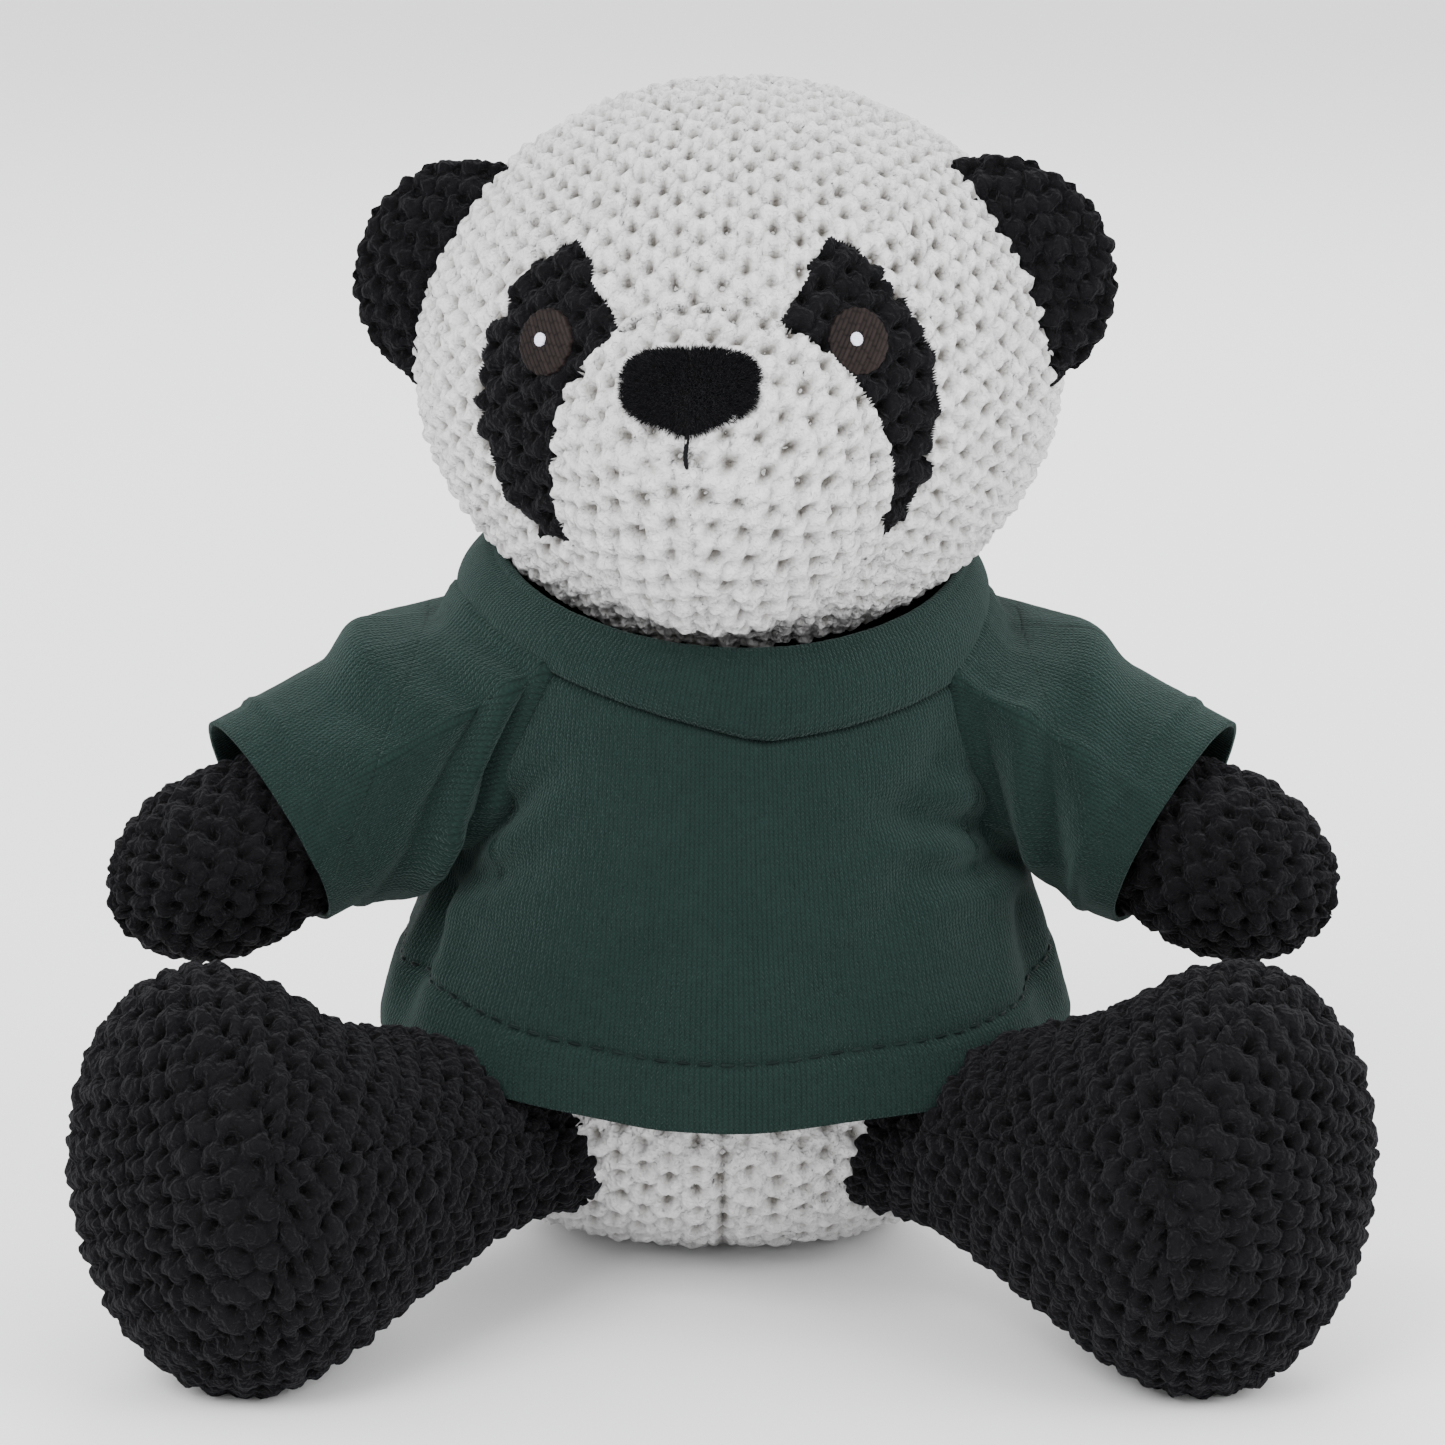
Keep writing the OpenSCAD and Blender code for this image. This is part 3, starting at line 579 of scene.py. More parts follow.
def satin_disc(name, side, node, rx, rz, lift, dome, angle, pitch, material, centre=(0.0, 0.0), grain=0.17):
    """An embroidered disc: rows of slanted stitches on a low dome, wrapped on the face."""
    rings, around = 40, 150
    rho = np.linspace(0, 1, rings)[:, None] + np.zeros(around)
    phi = np.linspace(0, 2 * np.pi, around, endpoint=False)[None, :] + np.zeros((rings, 1))
    wobble = 1 + 0.02 * np.sin(17 * phi) * rho
    x, z = centre[0] + rx * rho * np.cos(phi) * wobble, centre[1] + rz * rho * np.sin(phi) * wobble
    a = math.radians(angle)
    across, along = x * math.cos(a) + z * math.sin(a), z * math.cos(a) - x * math.sin(a)
    row = np.floor(across / pitch)
    ridge = np.abs(np.sin(math.pi * across / pitch))
    ends = np.abs(np.sin(math.pi * (along / 1.9 + hashed(row, row * 0 + side + 5, row * 0))))
    height = dome * np.sqrt(np.maximum(0, 1 - rho ** 4)) + grain * ridge + 0.05 * np.minimum(1, ends * 3)
    height = np.where(rho > 0.985, -0.5, height)
    # Painted highlight and shade: each row of stitches is lighter along its ridge and darker in the grooves and at the
    # stitch ends, with a random tone per row.
    tone = np.clip(0.15 + 0.6 * ridge * np.minimum(1, ends * 2.5)
                   + 0.35 * (hashed(row, row * 0 + 9, row * 0) - 0.5), 0, 1)
    az0, el0 = math.radians(IRIS_AZ) * side, math.radians(IRIS_EL)
    az = az0 + x / (FACE_R * math.cos(el0))
    el = el0 + z / 43.5
    p, _ = on_skull(az, el, lift + height)
    o = make(name, head_world(p.reshape(-1, 3)), grid_tris(rings, around, True)[:, ::-1], material,
             {"tone": tone.ravel()})
    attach(o, "head")
    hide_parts(node)
    return o

def nose_outline(rho, phi):
    """A broad bean with a small point below, in the face's x and z."""
    c, s = np.cos(phi), np.sin(phi)
    x = 9.9 * rho * np.sign(c) * np.abs(c) ** 0.72
    z = 4.7 + rho * np.where(s > 0, 4.7 * np.abs(s) ** 0.8, -5.3 * np.abs(s) ** 0.85)
    return x, z - 1.5 * np.where(s < 0, rho ** 2 * np.exp(-(x / 2.6) ** 2), 0)

def build_nose():
    rings, around = 26, 120
    rho = np.linspace(0, 1, rings)[:, None] + np.zeros(around)
    phi = np.linspace(0, 2 * np.pi, around, endpoint=False)[None, :] + np.zeros((rings, 1))
    x, z = nose_outline(rho, phi)

    def on_snout(x, z, lift):
        y = -27 - 29 * np.sqrt(np.maximum(0.02, 1 - (x / 28) ** 2 - ((z + 8) / 26) ** 2))
        p = np.stack([x, y, z], -1)
        n = unit((p - MUZZLE_P) / MUZZLE_R ** 2)
        return p + n * np.asarray(lift)[..., None], n

    p, n = on_snout(x, z, 0.4 + 2.0 * (1 - rho ** 2.6) - 1.2 * (rho > 0.97))
    points, tris = p.reshape(-1, 3), grid_tris(rings, around, True)[:, ::-1]
    rng = np.random.default_rng(7)
    count = 15000
    rr, ff = np.sqrt(rng.random(count)) * 0.99, rng.random(count) * 2 * np.pi
    bx, bz = nose_outline(rr, ff)
    root, nn = on_snout(bx, bz, 0.3 + 2.0 * (1 - rr ** 2.6))
    out = np.stack([bx, np.zeros(count), bz - 4.6], -1)
    out = out / np.maximum(np.linalg.norm(out, axis=1, keepdims=True), 0.5)
    lean = (rr ** 1.6)[:, None]
    way = unit(nn * (1.1 - 0.55 * lean) + out * 0.95 * lean + rng.normal(0, 0.3, (count, 3)) + np.array([0, 0, -0.1]))
    length = (0.75 + 0.65 * rng.random(count))[:, None]
    flat = unit(np.cross(way, rng.normal(0, 1, (count, 3))))
    width = 0.06
    mid = root + way * length * 0.55
    tip = root + way * length + nn * -0.12
    blades = np.stack([root - flat * width, root + flat * width,
                       mid + flat * width * 0.8, mid - flat * width * 0.8, tip], 1)
    first = len(points) + 5 * np.arange(count)[:, None]
    pattern = np.array([[0, 1, 2], [0, 2, 3], [3, 2, 4]])
    more = (first[:, None, :] + pattern[None]).reshape(-1, 3)
    # Painted shade and highlight: the nose's base and the blades' roots are dark, their tips lighter, each blade with a
    # random tone.
    shade = np.concatenate([np.full(len(points), 0.05),
                            np.repeat(rng.random(count), 5) * np.tile([0.2, 0.2, 0.7, 0.7, 1.0], count)])
    o = make("nose_fur", head_world(np.concatenate([points, blades.reshape(-1, 3)])), np.concatenate([tris, more]),
             NOSE_BLACK, {"tone": shade})
    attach(o, "head")
    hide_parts("nose")

    # The short line of thread below the nose.
    k = np.linspace(0, 1, 26)[:, None]
    a = np.linspace(0, 2 * np.pi, 12, endpoint=False)[None, :]
    zz = -1.0 - 5.6 * k + 0 * a
    thick = 0.34 * np.sqrt(np.maximum(0.02, 1 - (2 * k - 1) ** 8)) * (1 + 0.12 * np.sin(k * 60))
    q, _ = on_snout(0.12 * np.sin(k * 7) + thick * np.cos(a), zz, 0.45 + thick * np.sin(a))
    o = make("nose_thread", head_world(q.reshape(-1, 3)), grid_tris(26, 12, True), NOSE_BLACK,
             {"tone": np.full(26 * 12, 0.2)})
    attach(o, "head")
    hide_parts("nose_stitch")

# ---------------------------------------------------------------- torso, arms and legs
def even_rows(length_of, low, high, step):
    """Values from low to high spaced evenly along a profile."""
    fine = np.linspace(low, high, 1200)
    total = np.concatenate([[0], np.cumsum(np.hypot(*np.diff(length_of(fine), axis=1)))])
    count = max(4, int(total[-1] / step))
    where = np.interp(np.linspace(0, total[-1], count), total, fine)
    return where, np.interp(where, fine, total)

def build_torso():
    z, arc = even_rows(lambda z: np.stack([z, table(z, TORSO_A)]), 0.15, 102, 0.62)
    cols = 430
    az = np.linspace(0, 2 * np.pi, cols, endpoint=False)
    zz, aa = np.meshgrid(z, az, indexing="ij")
    a, b, y0 = table(zz, TORSO_A), table(zz, TORSO_B), table(zz, TORSO_Y)
    x0 = np.interp(zz, [90, 98], [0, 1])
    base = np.stack([x0 + a * np.sin(aa), y0 - b * np.cos(aa), zz], -1).reshape(-1, 3)
    tris = grid_tris(len(z), cols, True)
    nrm = normals_of(base, tris)
    arc2 = (arc[:, None] + 0 * aa).ravel()
    az_c = np.mod(aa.ravel() + np.pi, 2 * np.pi) - np.pi
    quarter = np.where(np.abs(az_c) < np.pi / 2, 0, 1)
    off = np.where(quarter == 0, az_c, np.mod(az_c, 2 * np.pi) - np.pi)
    r = 0.5 * (a + b).ravel()
    seam = np.minimum.reduce([np.abs(np.sin(az_c)) * r, np.abs(np.cos(az_c)) * r, np.abs(base[:, 2] - YOKE_Z)])
    p, crevice_shade, tone, _, _ = knit(base, nrm, off * r + 300 * quarter, arc2, 51, 0.0, seam)
    p[:, 2] = np.maximum(p[:, 2], 0.05)
    mid = base[tris].mean(axis=1)
    front, right, low = mid[:, 1] < table(mid[:, 2], TORSO_Y), mid[:, 0] > 0, mid[:, 2] < YOKE_Z
    parts = {"belly_left": front & ~right & low, "belly_right": front & right & low,
             "torso_back_left": ~front & ~right & low, "torso_back_right": ~front & right & low}
    for node, pick in parts.items():
        skin(node + "_skin", tris[pick], p, base, nrm, crevice_shade, tone, 1.6, WHITE, "torso", node)
    for node, pick in {"yoke_front": front & ~low, "yoke_back": ~front & ~low}.items():
        skin(node + "_skin", tris[pick], p, base, nrm, crevice_shade, tone, 1.6, BLACK, "torso", node)
    rings, around = 40, 160
    rho = np.linspace(0.01, 1, rings)[:, None]
    phi = np.linspace(0, 2 * np.pi, around, endpoint=False)[None, :]
    x, y = 21.4 * rho * np.sin(phi), 17.5 - 15.9 * rho * np.cos(phi)
    base = np.stack([x, y, 1.0 + 0 * x], -1).reshape(-1, 3)
    tris = grid_tris(rings, around, True)
    nrm = np.tile([0, 0, -1.0], (len(base), 1))
    p, crevice_shade, tone, _, _ = knit(base, nrm, base[:, 0], base[:, 1], 57)
    p[:, 2] = np.maximum(p[:, 2], 0.02)
    skin("seat_panel_skin", tris[:, ::-1], p, base, nrm, crevice_shade, tone, 1.4, WHITE, "torso", "seat_panel")

def build_arm(side, name):
    axis = unit(HAND - SHOULDER)
    up = unit(np.array([0, 0, 1]) - axis[2] * axis)
    across = np.cross(axis, up)
    s, arc = even_rows(lambda s: np.stack([s, table(s, ARM_R)]), 17, 70.9, 0.5)
    cols = 176
    al = np.linspace(0, 2 * np.pi, cols, endpoint=False)
    ss, aa = np.meshgrid(s, al, indexing="ij")
    r = table(ss, ARM_R) * ARM_THICK * (1 - 0.08 * np.clip((ss - 50) / 20, 0, 1))
    base = (SHOULDER + ss[..., None] * axis
            + r[..., None] * (np.cos(aa)[..., None] * up + np.sin(aa)[..., None] * across))
    wad(base * np.array([side, 1, 1]), "arm_" + name, "arm_stuffing_" + name)
    base = base.reshape(-1, 3)
    tris = grid_tris(len(s), cols, True)
    base = base * np.array([side, 1, 1])
    if side < 0:
        tris = tris[:, ::-1]
    nrm = normals_of(base, tris)
    half = np.sin(aa.ravel()) > 0
    middle = np.where(half, np.pi / 2, -np.pi / 2)
    off = np.mod(aa.ravel() - middle + np.pi, 2 * np.pi) - np.pi
    wide = np.maximum(r.ravel(), 5)
    seam = np.abs(np.sin(aa.ravel())) * r.ravel()
    p, crevice_shade, tone, _, _ = knit(base, nrm, off * wide + 200 * half, (arc[:, None] + 0 * aa).ravel(),
                              61 + side, 0.0, seam + 0.35)
    lobe = np.sin(aa).reshape(-1)[tris].mean(axis=1) > 0
    for node, pick in ((f"arm_front_{name}", lobe), (f"arm_back_{name}", ~lobe)):
        skin(node + "_skin", tris[pick], p, base, nrm, crevice_shade, tone, 1.6, BLACK, "arm_" + name, node)

def build_leg(side, name):
    axis = unit(FOOT - HIP)
    out = unit(np.cross(axis, [0, 0, 1]))
    top = np.cross(out, axis)
    t = math.radians(TOE_TILT)
    toe = math.cos(t) * top - math.sin(t) * out
    flank = np.cross(axis, toe)
    s, arc = even_rows(lambda s: np.stack([s, table(s, LEG_B)]), -9, 87.8, 0.56)
    cols = 320
    al = np.linspace(0, 2 * np.pi, cols, endpoint=False)
    ss, aa = np.meshgrid(s, al, indexing="ij")
    a, b = table(ss, LEG_A), table(ss, LEG_B)
    up_k = 0.5 + 0.5 * np.tanh(np.cos(aa) / 0.35)
    b = b * (1 - ANKLE_DRAWN_IN[side] * up_k * np.exp(-((ss - 48) / 14) ** 2))
    root = ease((26 - ss) / 20)
    a, b = a * (1 - 0.1 * root), b * (1 - 0.1 * root)
    base = (HIP + ss[..., None] * FOOT_LONG * axis + (a * np.sin(aa))[..., None] * flank
            + (b * np.cos(aa))[..., None] * toe)
    wad(base[24:] * np.array([side, 1, 1]), "leg_" + name, "leg_stuffing_" + name)
    base = base.reshape(-1, 3) * np.array([side, 1, 1])
    tris = grid_tris(len(s), cols, True)
    if side < 0:
        tris = tris[:, ::-1]
    nrm = normals_of(base, tris)
    aa, r, ss = aa.ravel(), 0.5 * (a + b).ravel(), ss.ravel()
    upper = np.cos(aa) > 0
    off = np.mod(aa - np.where(upper, 0, np.pi) + np.pi, 2 * np.pi) - np.pi
    arc = (arc[:, None] + np.zeros(cols)).ravel()
    rim = 77.0
    end = ss > rim
    grow = 1 + 0.14 * (1 - (r / r[end].max())) if end.any() else 1
    x = np.where(end, a.ravel() * np.sin(aa) * grow, off * r + 300 * upper)
    y = np.where(end, b.ravel() * np.cos(aa) * grow + 500, arc)
    seam = np.where(end, 9, np.abs(np.cos(aa)) * r + 0.75)
    seam = np.minimum(seam, np.abs(ss - rim) * 1.3 + 0.7)
    p, crevice_shade, tone = base.copy(), np.zeros(len(base)), np.zeros(len(base))
    for m, turn, seed in ((~end, 0.0, 71 + side), (end, side * 0.6, 75 + side)):
        p[m], crevice_shade[m], tone[m], _, _ = knit(base[m], nrm[m], x[m], y[m], seed, turn, seam[m], 1.05)
    p[:, 2] = np.maximum(p[:, 2] - 0.7, 0.05)
    base[:, 2] -= 0.7
    tip = ss[tris].mean(axis=1) > rim
    lobe = np.cos(aa)[tris].mean(axis=1) > 0
    for node, pick in ((f"leg_upper_{name}", ~tip & lobe), (f"leg_lower_{name}", ~tip & ~lobe), (f"sole_{name}", tip)):
        skin(node + "_skin", tris[pick], p, base, nrm, crevice_shade, tone, 1.6, BLACK, "leg_" + name, node)

# ---------------------------------------------------------------- shirt
def ellipse_at(az, z, lift=0.0):
    off = np.mod(np.degrees(az) + 84 + 180, 360) - 180
    lift = lift - 4.3 * np.exp(-(off / 30) ** 2) * ease((z - 46) / 22) * ease((88 - z) / 16)
    return np.stack([(table(z, SHIRT_A) + lift) * np.sin(az), SHIRT_Y - (table(z, SHIRT_B) + lift) * np.cos(az), z], -1)

NECK_SEAM = [[-180, 105], [-120, 106.5], [-90, 106.5], [-71, 105.8], [-40, 100.5], [-21, 96.9], [-5, 94.0], [8, 91.5],
             [25, 92.8], [45, 95.2], [58, 97.0], [75, 102], [90, 104.5], [120, 105.5], [180, 105]]
RAGLAN_LEFT = [[-90, 66], [-78, 68.3], [-65.6, 70.6], [-56.7, 73.9], [-51.1, 78.8],
               [-48.6, 86.6], [-44, 94], [-39.6, 100.5]]
RAGLAN_RIGHT = [[57, 97.3], [58.5, 90], [60, 85.7], [66.3, 74.2], [78, 68.5], [90, 66]]
RAGLAN_BACK = [[90, 66], [104, 69], [114, 72], [122, 80], [128, 90], [135, 104.8]]
HEM = [[-180, 33], [-130, 37], [-90, 42], [-74, 40.4], [-56, 40], [-28, 35.8], [-12, 34], [5, 34], [21, 34.8],
       [34, 35.2], [60, 37], [77, 40], [90, 43.5], [130, 37], [180, 33]]

def neck_seam(az):
    return table(az, NECK_SEAM)

def soften(rows, az, width=3.0):
    """A table with its corners rounded."""
    return sum(table(az + d * width, rows) for d in (-1, -0.5, 0, 0.5, 1)) / 5

def valley(az, z, a0, z0, a1, z1, width, depth):
    """A soft groove that fades along its way between two points of the shirt."""
    k = 0.8
    dx, dz = (a1 - a0) * k, z1 - z0
    t = ((az - a0) * k * dx + (z - z0) * dz) / (dx * dx + dz * dz)
    side = ((az - a0) * k * dz - (z - z0) * dx) / np.hypot(dx, dz)
    along = ease((t + 0.12) / 0.25) * ease((1.15 - t) / 0.75)
    return -depth * along * (np.exp(-(side / width) ** 2) - 0.35 * np.exp(-((side - 1.9 * width) / width) ** 2)
                             - 0.35 * np.exp(-((side + 1.9 * width) / width) ** 2))

def body_folds(az, z):
    """How far the shirt's body stands in or out, in mm."""
    h = valley(az, z, -68, 68, -33, 86, 2.6, 2.3) + valley(az, z, -66, 65, -36, 71, 2.6, 1.5)
    h += valley(az, z, 72, 71, 30, 80, 2.6, 2.3) + valley(az, z, 80, 67, 34, 69.5, 2.4, 2.0)
    h += valley(az, z, 52, 86, 20, 72, 4.0, 0.9) + valley(az, z, 44, 76, 26, 58, 4.0, 0.8)
    h += valley(az, z, -70, 64, -64, 40, 3.6, 1.8) + valley(az, z, 74, 62, 66, 40, 4.5, 1.3)
    h += valley(az, z, -122, 72, -112, 42, 5.0, 1.8) + valley(az, z, 124, 72, 115, 44, 5.0, 1.8)
    h += valley(az, z, 150, 75, 158, 40, 6.0, 1.3) + valley(az, z, -165, 80, -150, 40, 6.0, 1.2)
    h += valley(az, z, -14, 62, -20, 38, 7.0, 0.8) + valley(az, z, 20, 60, 26, 38, 7.0, 0.8)
    h = h * 1.3
    low = np.clip((58 - z) / 22, 0, 1)
    h += low * (0.7 * np.sin(rad(az * 5 + 30)) + 0.45 * np.sin(rad(az * 9 + 80)))
    return h

def body_panel(front):
    """Grid of the front or back panel: rows from the hem to the raglan and neck seams, and a tuck behind them."""
    rows, cols = 108, 250
    if front:
        az = np.linspace(-90, 90, cols)
        top = np.where(az < -39.6, table(az, RAGLAN_LEFT), np.where(az > 57, table(az, RAGLAN_RIGHT), neck_seam(az)))
    else:
        az = np.linspace(90, 270, cols)
        near = np.minimum(az, 360 - az)
        top = np.where(near < 135, table(near, RAGLAN_BACK), 104.8)
    wrapped = np.mod(az + 180, 360) - 180
    hem = soften(HEM, wrapped, 3)
    v = np.linspace(0, 1, rows)[:, None]
    z = hem[None, :] + (top - hem)[None, :] * v
    a = az[None, :] + 0 * z
    aw = wrapped[None, :] + 0 * z
    gap = top[None, :] - z
    lift = body_folds(aw, z) * ease(gap / 5.0)
    stitch = z - hem[None, :] - 10.2
    lift = lift - 0.5 * np.exp(-(stitch / 0.9) ** 2) + 0.3 * (stitch < 0) * ease(-stitch / 1.2)
    lift = lift - 0.75 * np.exp(-(gap / 0.9) ** 2)
    lift = lift + thigh_room(a, z)
    tuck = np.array([1.3, 2.6])[:, None] + 0 * az[None, :]
    lift = np.concatenate([lift, lift[-1:] - tuck])
    z = np.concatenate([z, z[-1:], z[-1:]])
    a = np.concatenate([a, a[-1:], a[-1:]])
    p = ellipse_at(rad(a), z, lift)
    uv = np.stack([rad(a) * 47.0, z + np.concatenate([0 * gap[:, :1], [[1.3], [2.6]]])], -1)
    gap, stitch = (np.concatenate([m, m[-1:], m[-1:]]) for m in (gap, stitch))
    side = np.minimum(np.abs(np.abs(wrapped[None, :]) - 90) * 0.85, 9) + 0 * z
    # Painted shade along the tuck at the top seam, the hem's stitch line and the side seams.
    crevice_shade = 0.75 * np.exp(-(gap / 0.55) ** 2) + 0.3 * np.exp(-(stitch / 0.55) ** 2) + 0.5 * np.exp(-(side / 0.5) ** 2)
    return p, uv, np.clip(crevice_shade, 0, 0.85), z, hem

def thigh_room(az, z):
    """Cloth lifted over the thighs, near the hem."""
    w = np.mod(az + 180, 360) - 180
    bump = np.exp(-((np.abs(w) - 50) / 20) ** 2)
    return 3.4 * bump * np.clip((54 - z) / 16, 0, 1)

def sheet_piece(name, tris, p, uv, crevice_shade):
    tris, (p, uv, crevice_shade) = cut(tris, p, uv, crevice_shade)
    n = normals_of(p, tris)
    p = p + n * (0.05 * noise(p, 2.3, 5) + 0.03 * noise(p, 1.1, 6))[:, None]
    both, points = shell(tris, p, p - n * JERSEY_T)
    return make(name, points, both, GREEN, {"crevice_shade": np.concatenate([crevice_shade, 0 * crevice_shade])},
                np.concatenate([uv, uv]))

def dashes(name, line, normal, length=2.1, gap=1.3, width=0.32):
    """Short stitches along a line of points: small rounded beads of thread."""
    seg = np.linalg.norm(np.diff(line, axis=0), axis=1)
    total = np.concatenate([[0], np.cumsum(seg)])
    starts = np.arange(gap, total[-1] - length, length + gap)
    ring = np.linspace(0, 2 * np.pi, 8, endpoint=False)
    points, tris, tone = [], [], []
    rng = np.random.default_rng(len(line))
    for s in starts:
        t = np.linspace(s, s + length, 7)
        c = np.stack([np.interp(t, total, line[:, k]) for k in range(3)], -1)
        n = unit(np.stack([np.interp(t, total, normal[:, k]) for k in range(3)], -1))
        d = unit(np.gradient(c, axis=0))
        b = np.cross(d, n)
        r = width * np.sqrt(np.maximum(0.03, 1 - np.linspace(-1, 1, 7) ** 2))[:, None, None]
        body = c[:, None] + r * (np.cos(ring)[None, :, None] * b[:, None]
                                 + 0.8 * np.sin(ring)[None, :, None] * n[:, None])
        tris.append(grid_tris(7, 8, True) + 56 * len(points))
        points.append(body.reshape(-1, 3))
        tone.append(np.full(56, rng.random()))
    return make(name, np.concatenate(points), np.concatenate(tris)[:, ::-1], GREEN_THREAD,
                {"tone": np.concatenate(tone)})

def build_body_shirt():
    for front, node, flat in ((True, "shirt_front", (0.150, 0.068)), (False, "shirt_back", (0.150, 0.072))):
        p, uv, crevice_shade, z, hem = body_panel(front)
        tris, pts, uvs = grid_tris(*p.shape[:2]), p.reshape(-1, 3), uv.reshape(-1, 2)
        o = sheet_piece(node + "_cloth", tris, pts, uvs, crevice_shade.ravel())
        n = normals_of(pts, tris).reshape(p.shape)
        row = np.argmin(np.abs(z - (hem[None, :] + HEM_STITCH)), axis=0)
        cols = np.arange(p.shape[1])
        line, nn = p[row, cols], n[row, cols]
        line[:, 2] = hem + HEM_STITCH
        stitches = dashes(node + "_stitches", line + nn * 0.12, nn)
        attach(o, "torso")
        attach(stitches, "torso")
        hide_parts(node)

def build_collar():
    cols, rows = 260, 22
    az = np.linspace(-180, 180, cols, endpoint=False)
    v = np.linspace(0, 1, rows)[:, None]
    low_z = soften(NECK_SEAM, az, 4)
    low = ellipse_at(rad(az), low_z, 0.25)
    deep = 39.0 + 1.5 * np.cos(rad(az))
    rim = np.stack([36.6 * np.sin(rad(az)) + 1.3, -1.4 - deep * np.cos(rad(az)),
                    110.8 - 6.3 * np.cos(rad(az)) + 1.9 * np.sin(rad(az)) ** 2 - 1.1 * np.sin(rad(az))], -1)
    out = np.stack([np.sin(rad(az)), -np.cos(rad(az)), 0.35 + 0 * az], -1)
    outer = low[None] * (1 - v[..., None]) + rim[None] * v[..., None]
    outer = outer + (1.5 * np.sin(np.pi * v) ** 0.7)[..., None] * out[None]
    outer = outer + (0.25 * np.sin(rad(az * 3 + 40)) * np.sin(np.pi * v))[..., None] * out[None]
    turn = np.linspace(0, np.pi, 9)[1:-1][:, None]
    half = 1.0
    level = np.stack([np.sin(rad(az)), -np.cos(rad(az)), 0 * az], -1)
    lip = rim[None] - half * level[None] * (1 - np.cos(turn))[..., None]
    lip = lip + np.array([0, 0, half]) * np.sin(turn)[..., None]
    inner = (outer - 2 * half * level[None])[::-1]
    p = np.concatenate([outer, lip, inner])
    tris = grid_tris(len(p), cols, True)
    base = grid_tris(2, cols, True)[:, ::-1]
    last = (len(p) - 1) * cols
    base = np.where(base >= cols, base - cols + last, base)
    tris = np.concatenate([tris, base])
    pts = p.reshape(-1, 3)
    n = normals_of(pts, tris)
    pts = pts + n * (0.06 * noise(pts, 2.3, 15))[:, None]
    length = np.cumsum(np.linalg.norm(np.diff(p, axis=0, prepend=p[:1]), axis=2).mean(axis=1))
    uv = np.stack(np.broadcast_arrays(rad(az)[None, :] * 41, length[:, None]), -1).reshape(-1, 2)
    # Painted shade along the neck seam at the collar's foot.
    crevice_shade = np.broadcast_to(0.7 * np.exp(-(length / 0.6) ** 2)[:, None], (len(p), cols)).ravel()
    o = make("shirt_collar_cloth", pts, tris, GREEN, {"crevice_shade": crevice_shade}, uv)
    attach(o, "torso")
    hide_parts("shirt_collar")

# A sleeve is cut in two across this direction, at CUT_LEVEL along it.
CUT_N = np.array([0.93, 0.0, 0.366])
ROOT_LEVEL, CUT_LEVEL, CUFF_LEVEL = 71.0, 79.5, 88.0
# Folds of each sleeve: turn round it, reach, distance from the seam, width, height and slant.
FOLDS = {
    -1: [(0.32, 0.13, 3.6, 2.3, 1.7), (0.33, 0.15, 8.0, 2.0, -3.0, 14), (0.28, 0.15, 13.5, 3.6, 1.9, 20),
         (0.0, 0.10, 5.0, 3.2, 2.0), (0.02, 0.13, 17.5, 5.0, -3.4, 10), (0.12, 0.10, 24.0, 4.0, 0.9, -30),
         (0.20, 0.10, 30, 5.0, -1.0, 40)],
    1: [(0.28, 0.13, 4.0, 2.4, 1.2, -10), (0.30, 0.15, 9.5, 2.4, -2.2, -22), (0.28, 0.14, 15.0, 3.0, 1.5, -26),
        (0.30, 0.12, 21.0, 3.2, -1.5, -30), (0.0, 0.10, 5.5, 3.4, 2.2), (0.02, 0.13, 19.0, 5.5, -3.4, 12),
        (0.14, 0.10, 27.0, 4.0, 0.8, 30)],
}
FOLDS_BEHIND = [(0.72, 0.13, 5.5, 2.6, 1.3), (0.72, 0.14, 11.5, 3.0, -1.9, 10), (0.75, 0.13, 19, 4.0, 0.9, 20),
                (0.5, 0.08, 4.0, 3.0, 0.8), (0.5, 0.13, 12.0, 6.5, -2.6)]

def sleeve_loop(side):
    """The raglan and neck seam, from the top of the shoulder down the front, under the arm and up the back."""
    front = RAGLAN_RIGHT if side > 0 else [[-a, z] for a, z in RAGLAN_LEFT[::-1]]
    t_front = front[0][0]
    over = [[a, float(neck_seam(side * a))] for a in np.linspace(90, t_front, 12)]
    back = [[a, z] for a, z in RAGLAN_BACK]
    behind = [[a, 104.9] for a in np.linspace(135, 90, 12)]
    behind[-1][1] = over[0][1]
    key = np.array(over[:-1] + front + back[1:] + behind[1:])
    p = ellipse_at(rad(side * key[:, 0]), key[:, 1], 0.1)
    seg = np.linalg.norm(np.diff(p, axis=0), axis=1)
    total = np.concatenate([[0], np.cumsum(seg)])
    t = np.linspace(0, 1, 300, endpoint=False)
    bottom = total[len(over) - 1 + len(front) - 1]
    at = np.where(t < 0.5, t * 2 * bottom, bottom + (t * 2 - 1) * (total[-1] - bottom))
    q = np.stack([np.interp(at, total, p[:, k]) for k in range(3)], -1)
    return (q + np.roll(q, 1, 0) + np.roll(q, -1, 0)) / 3

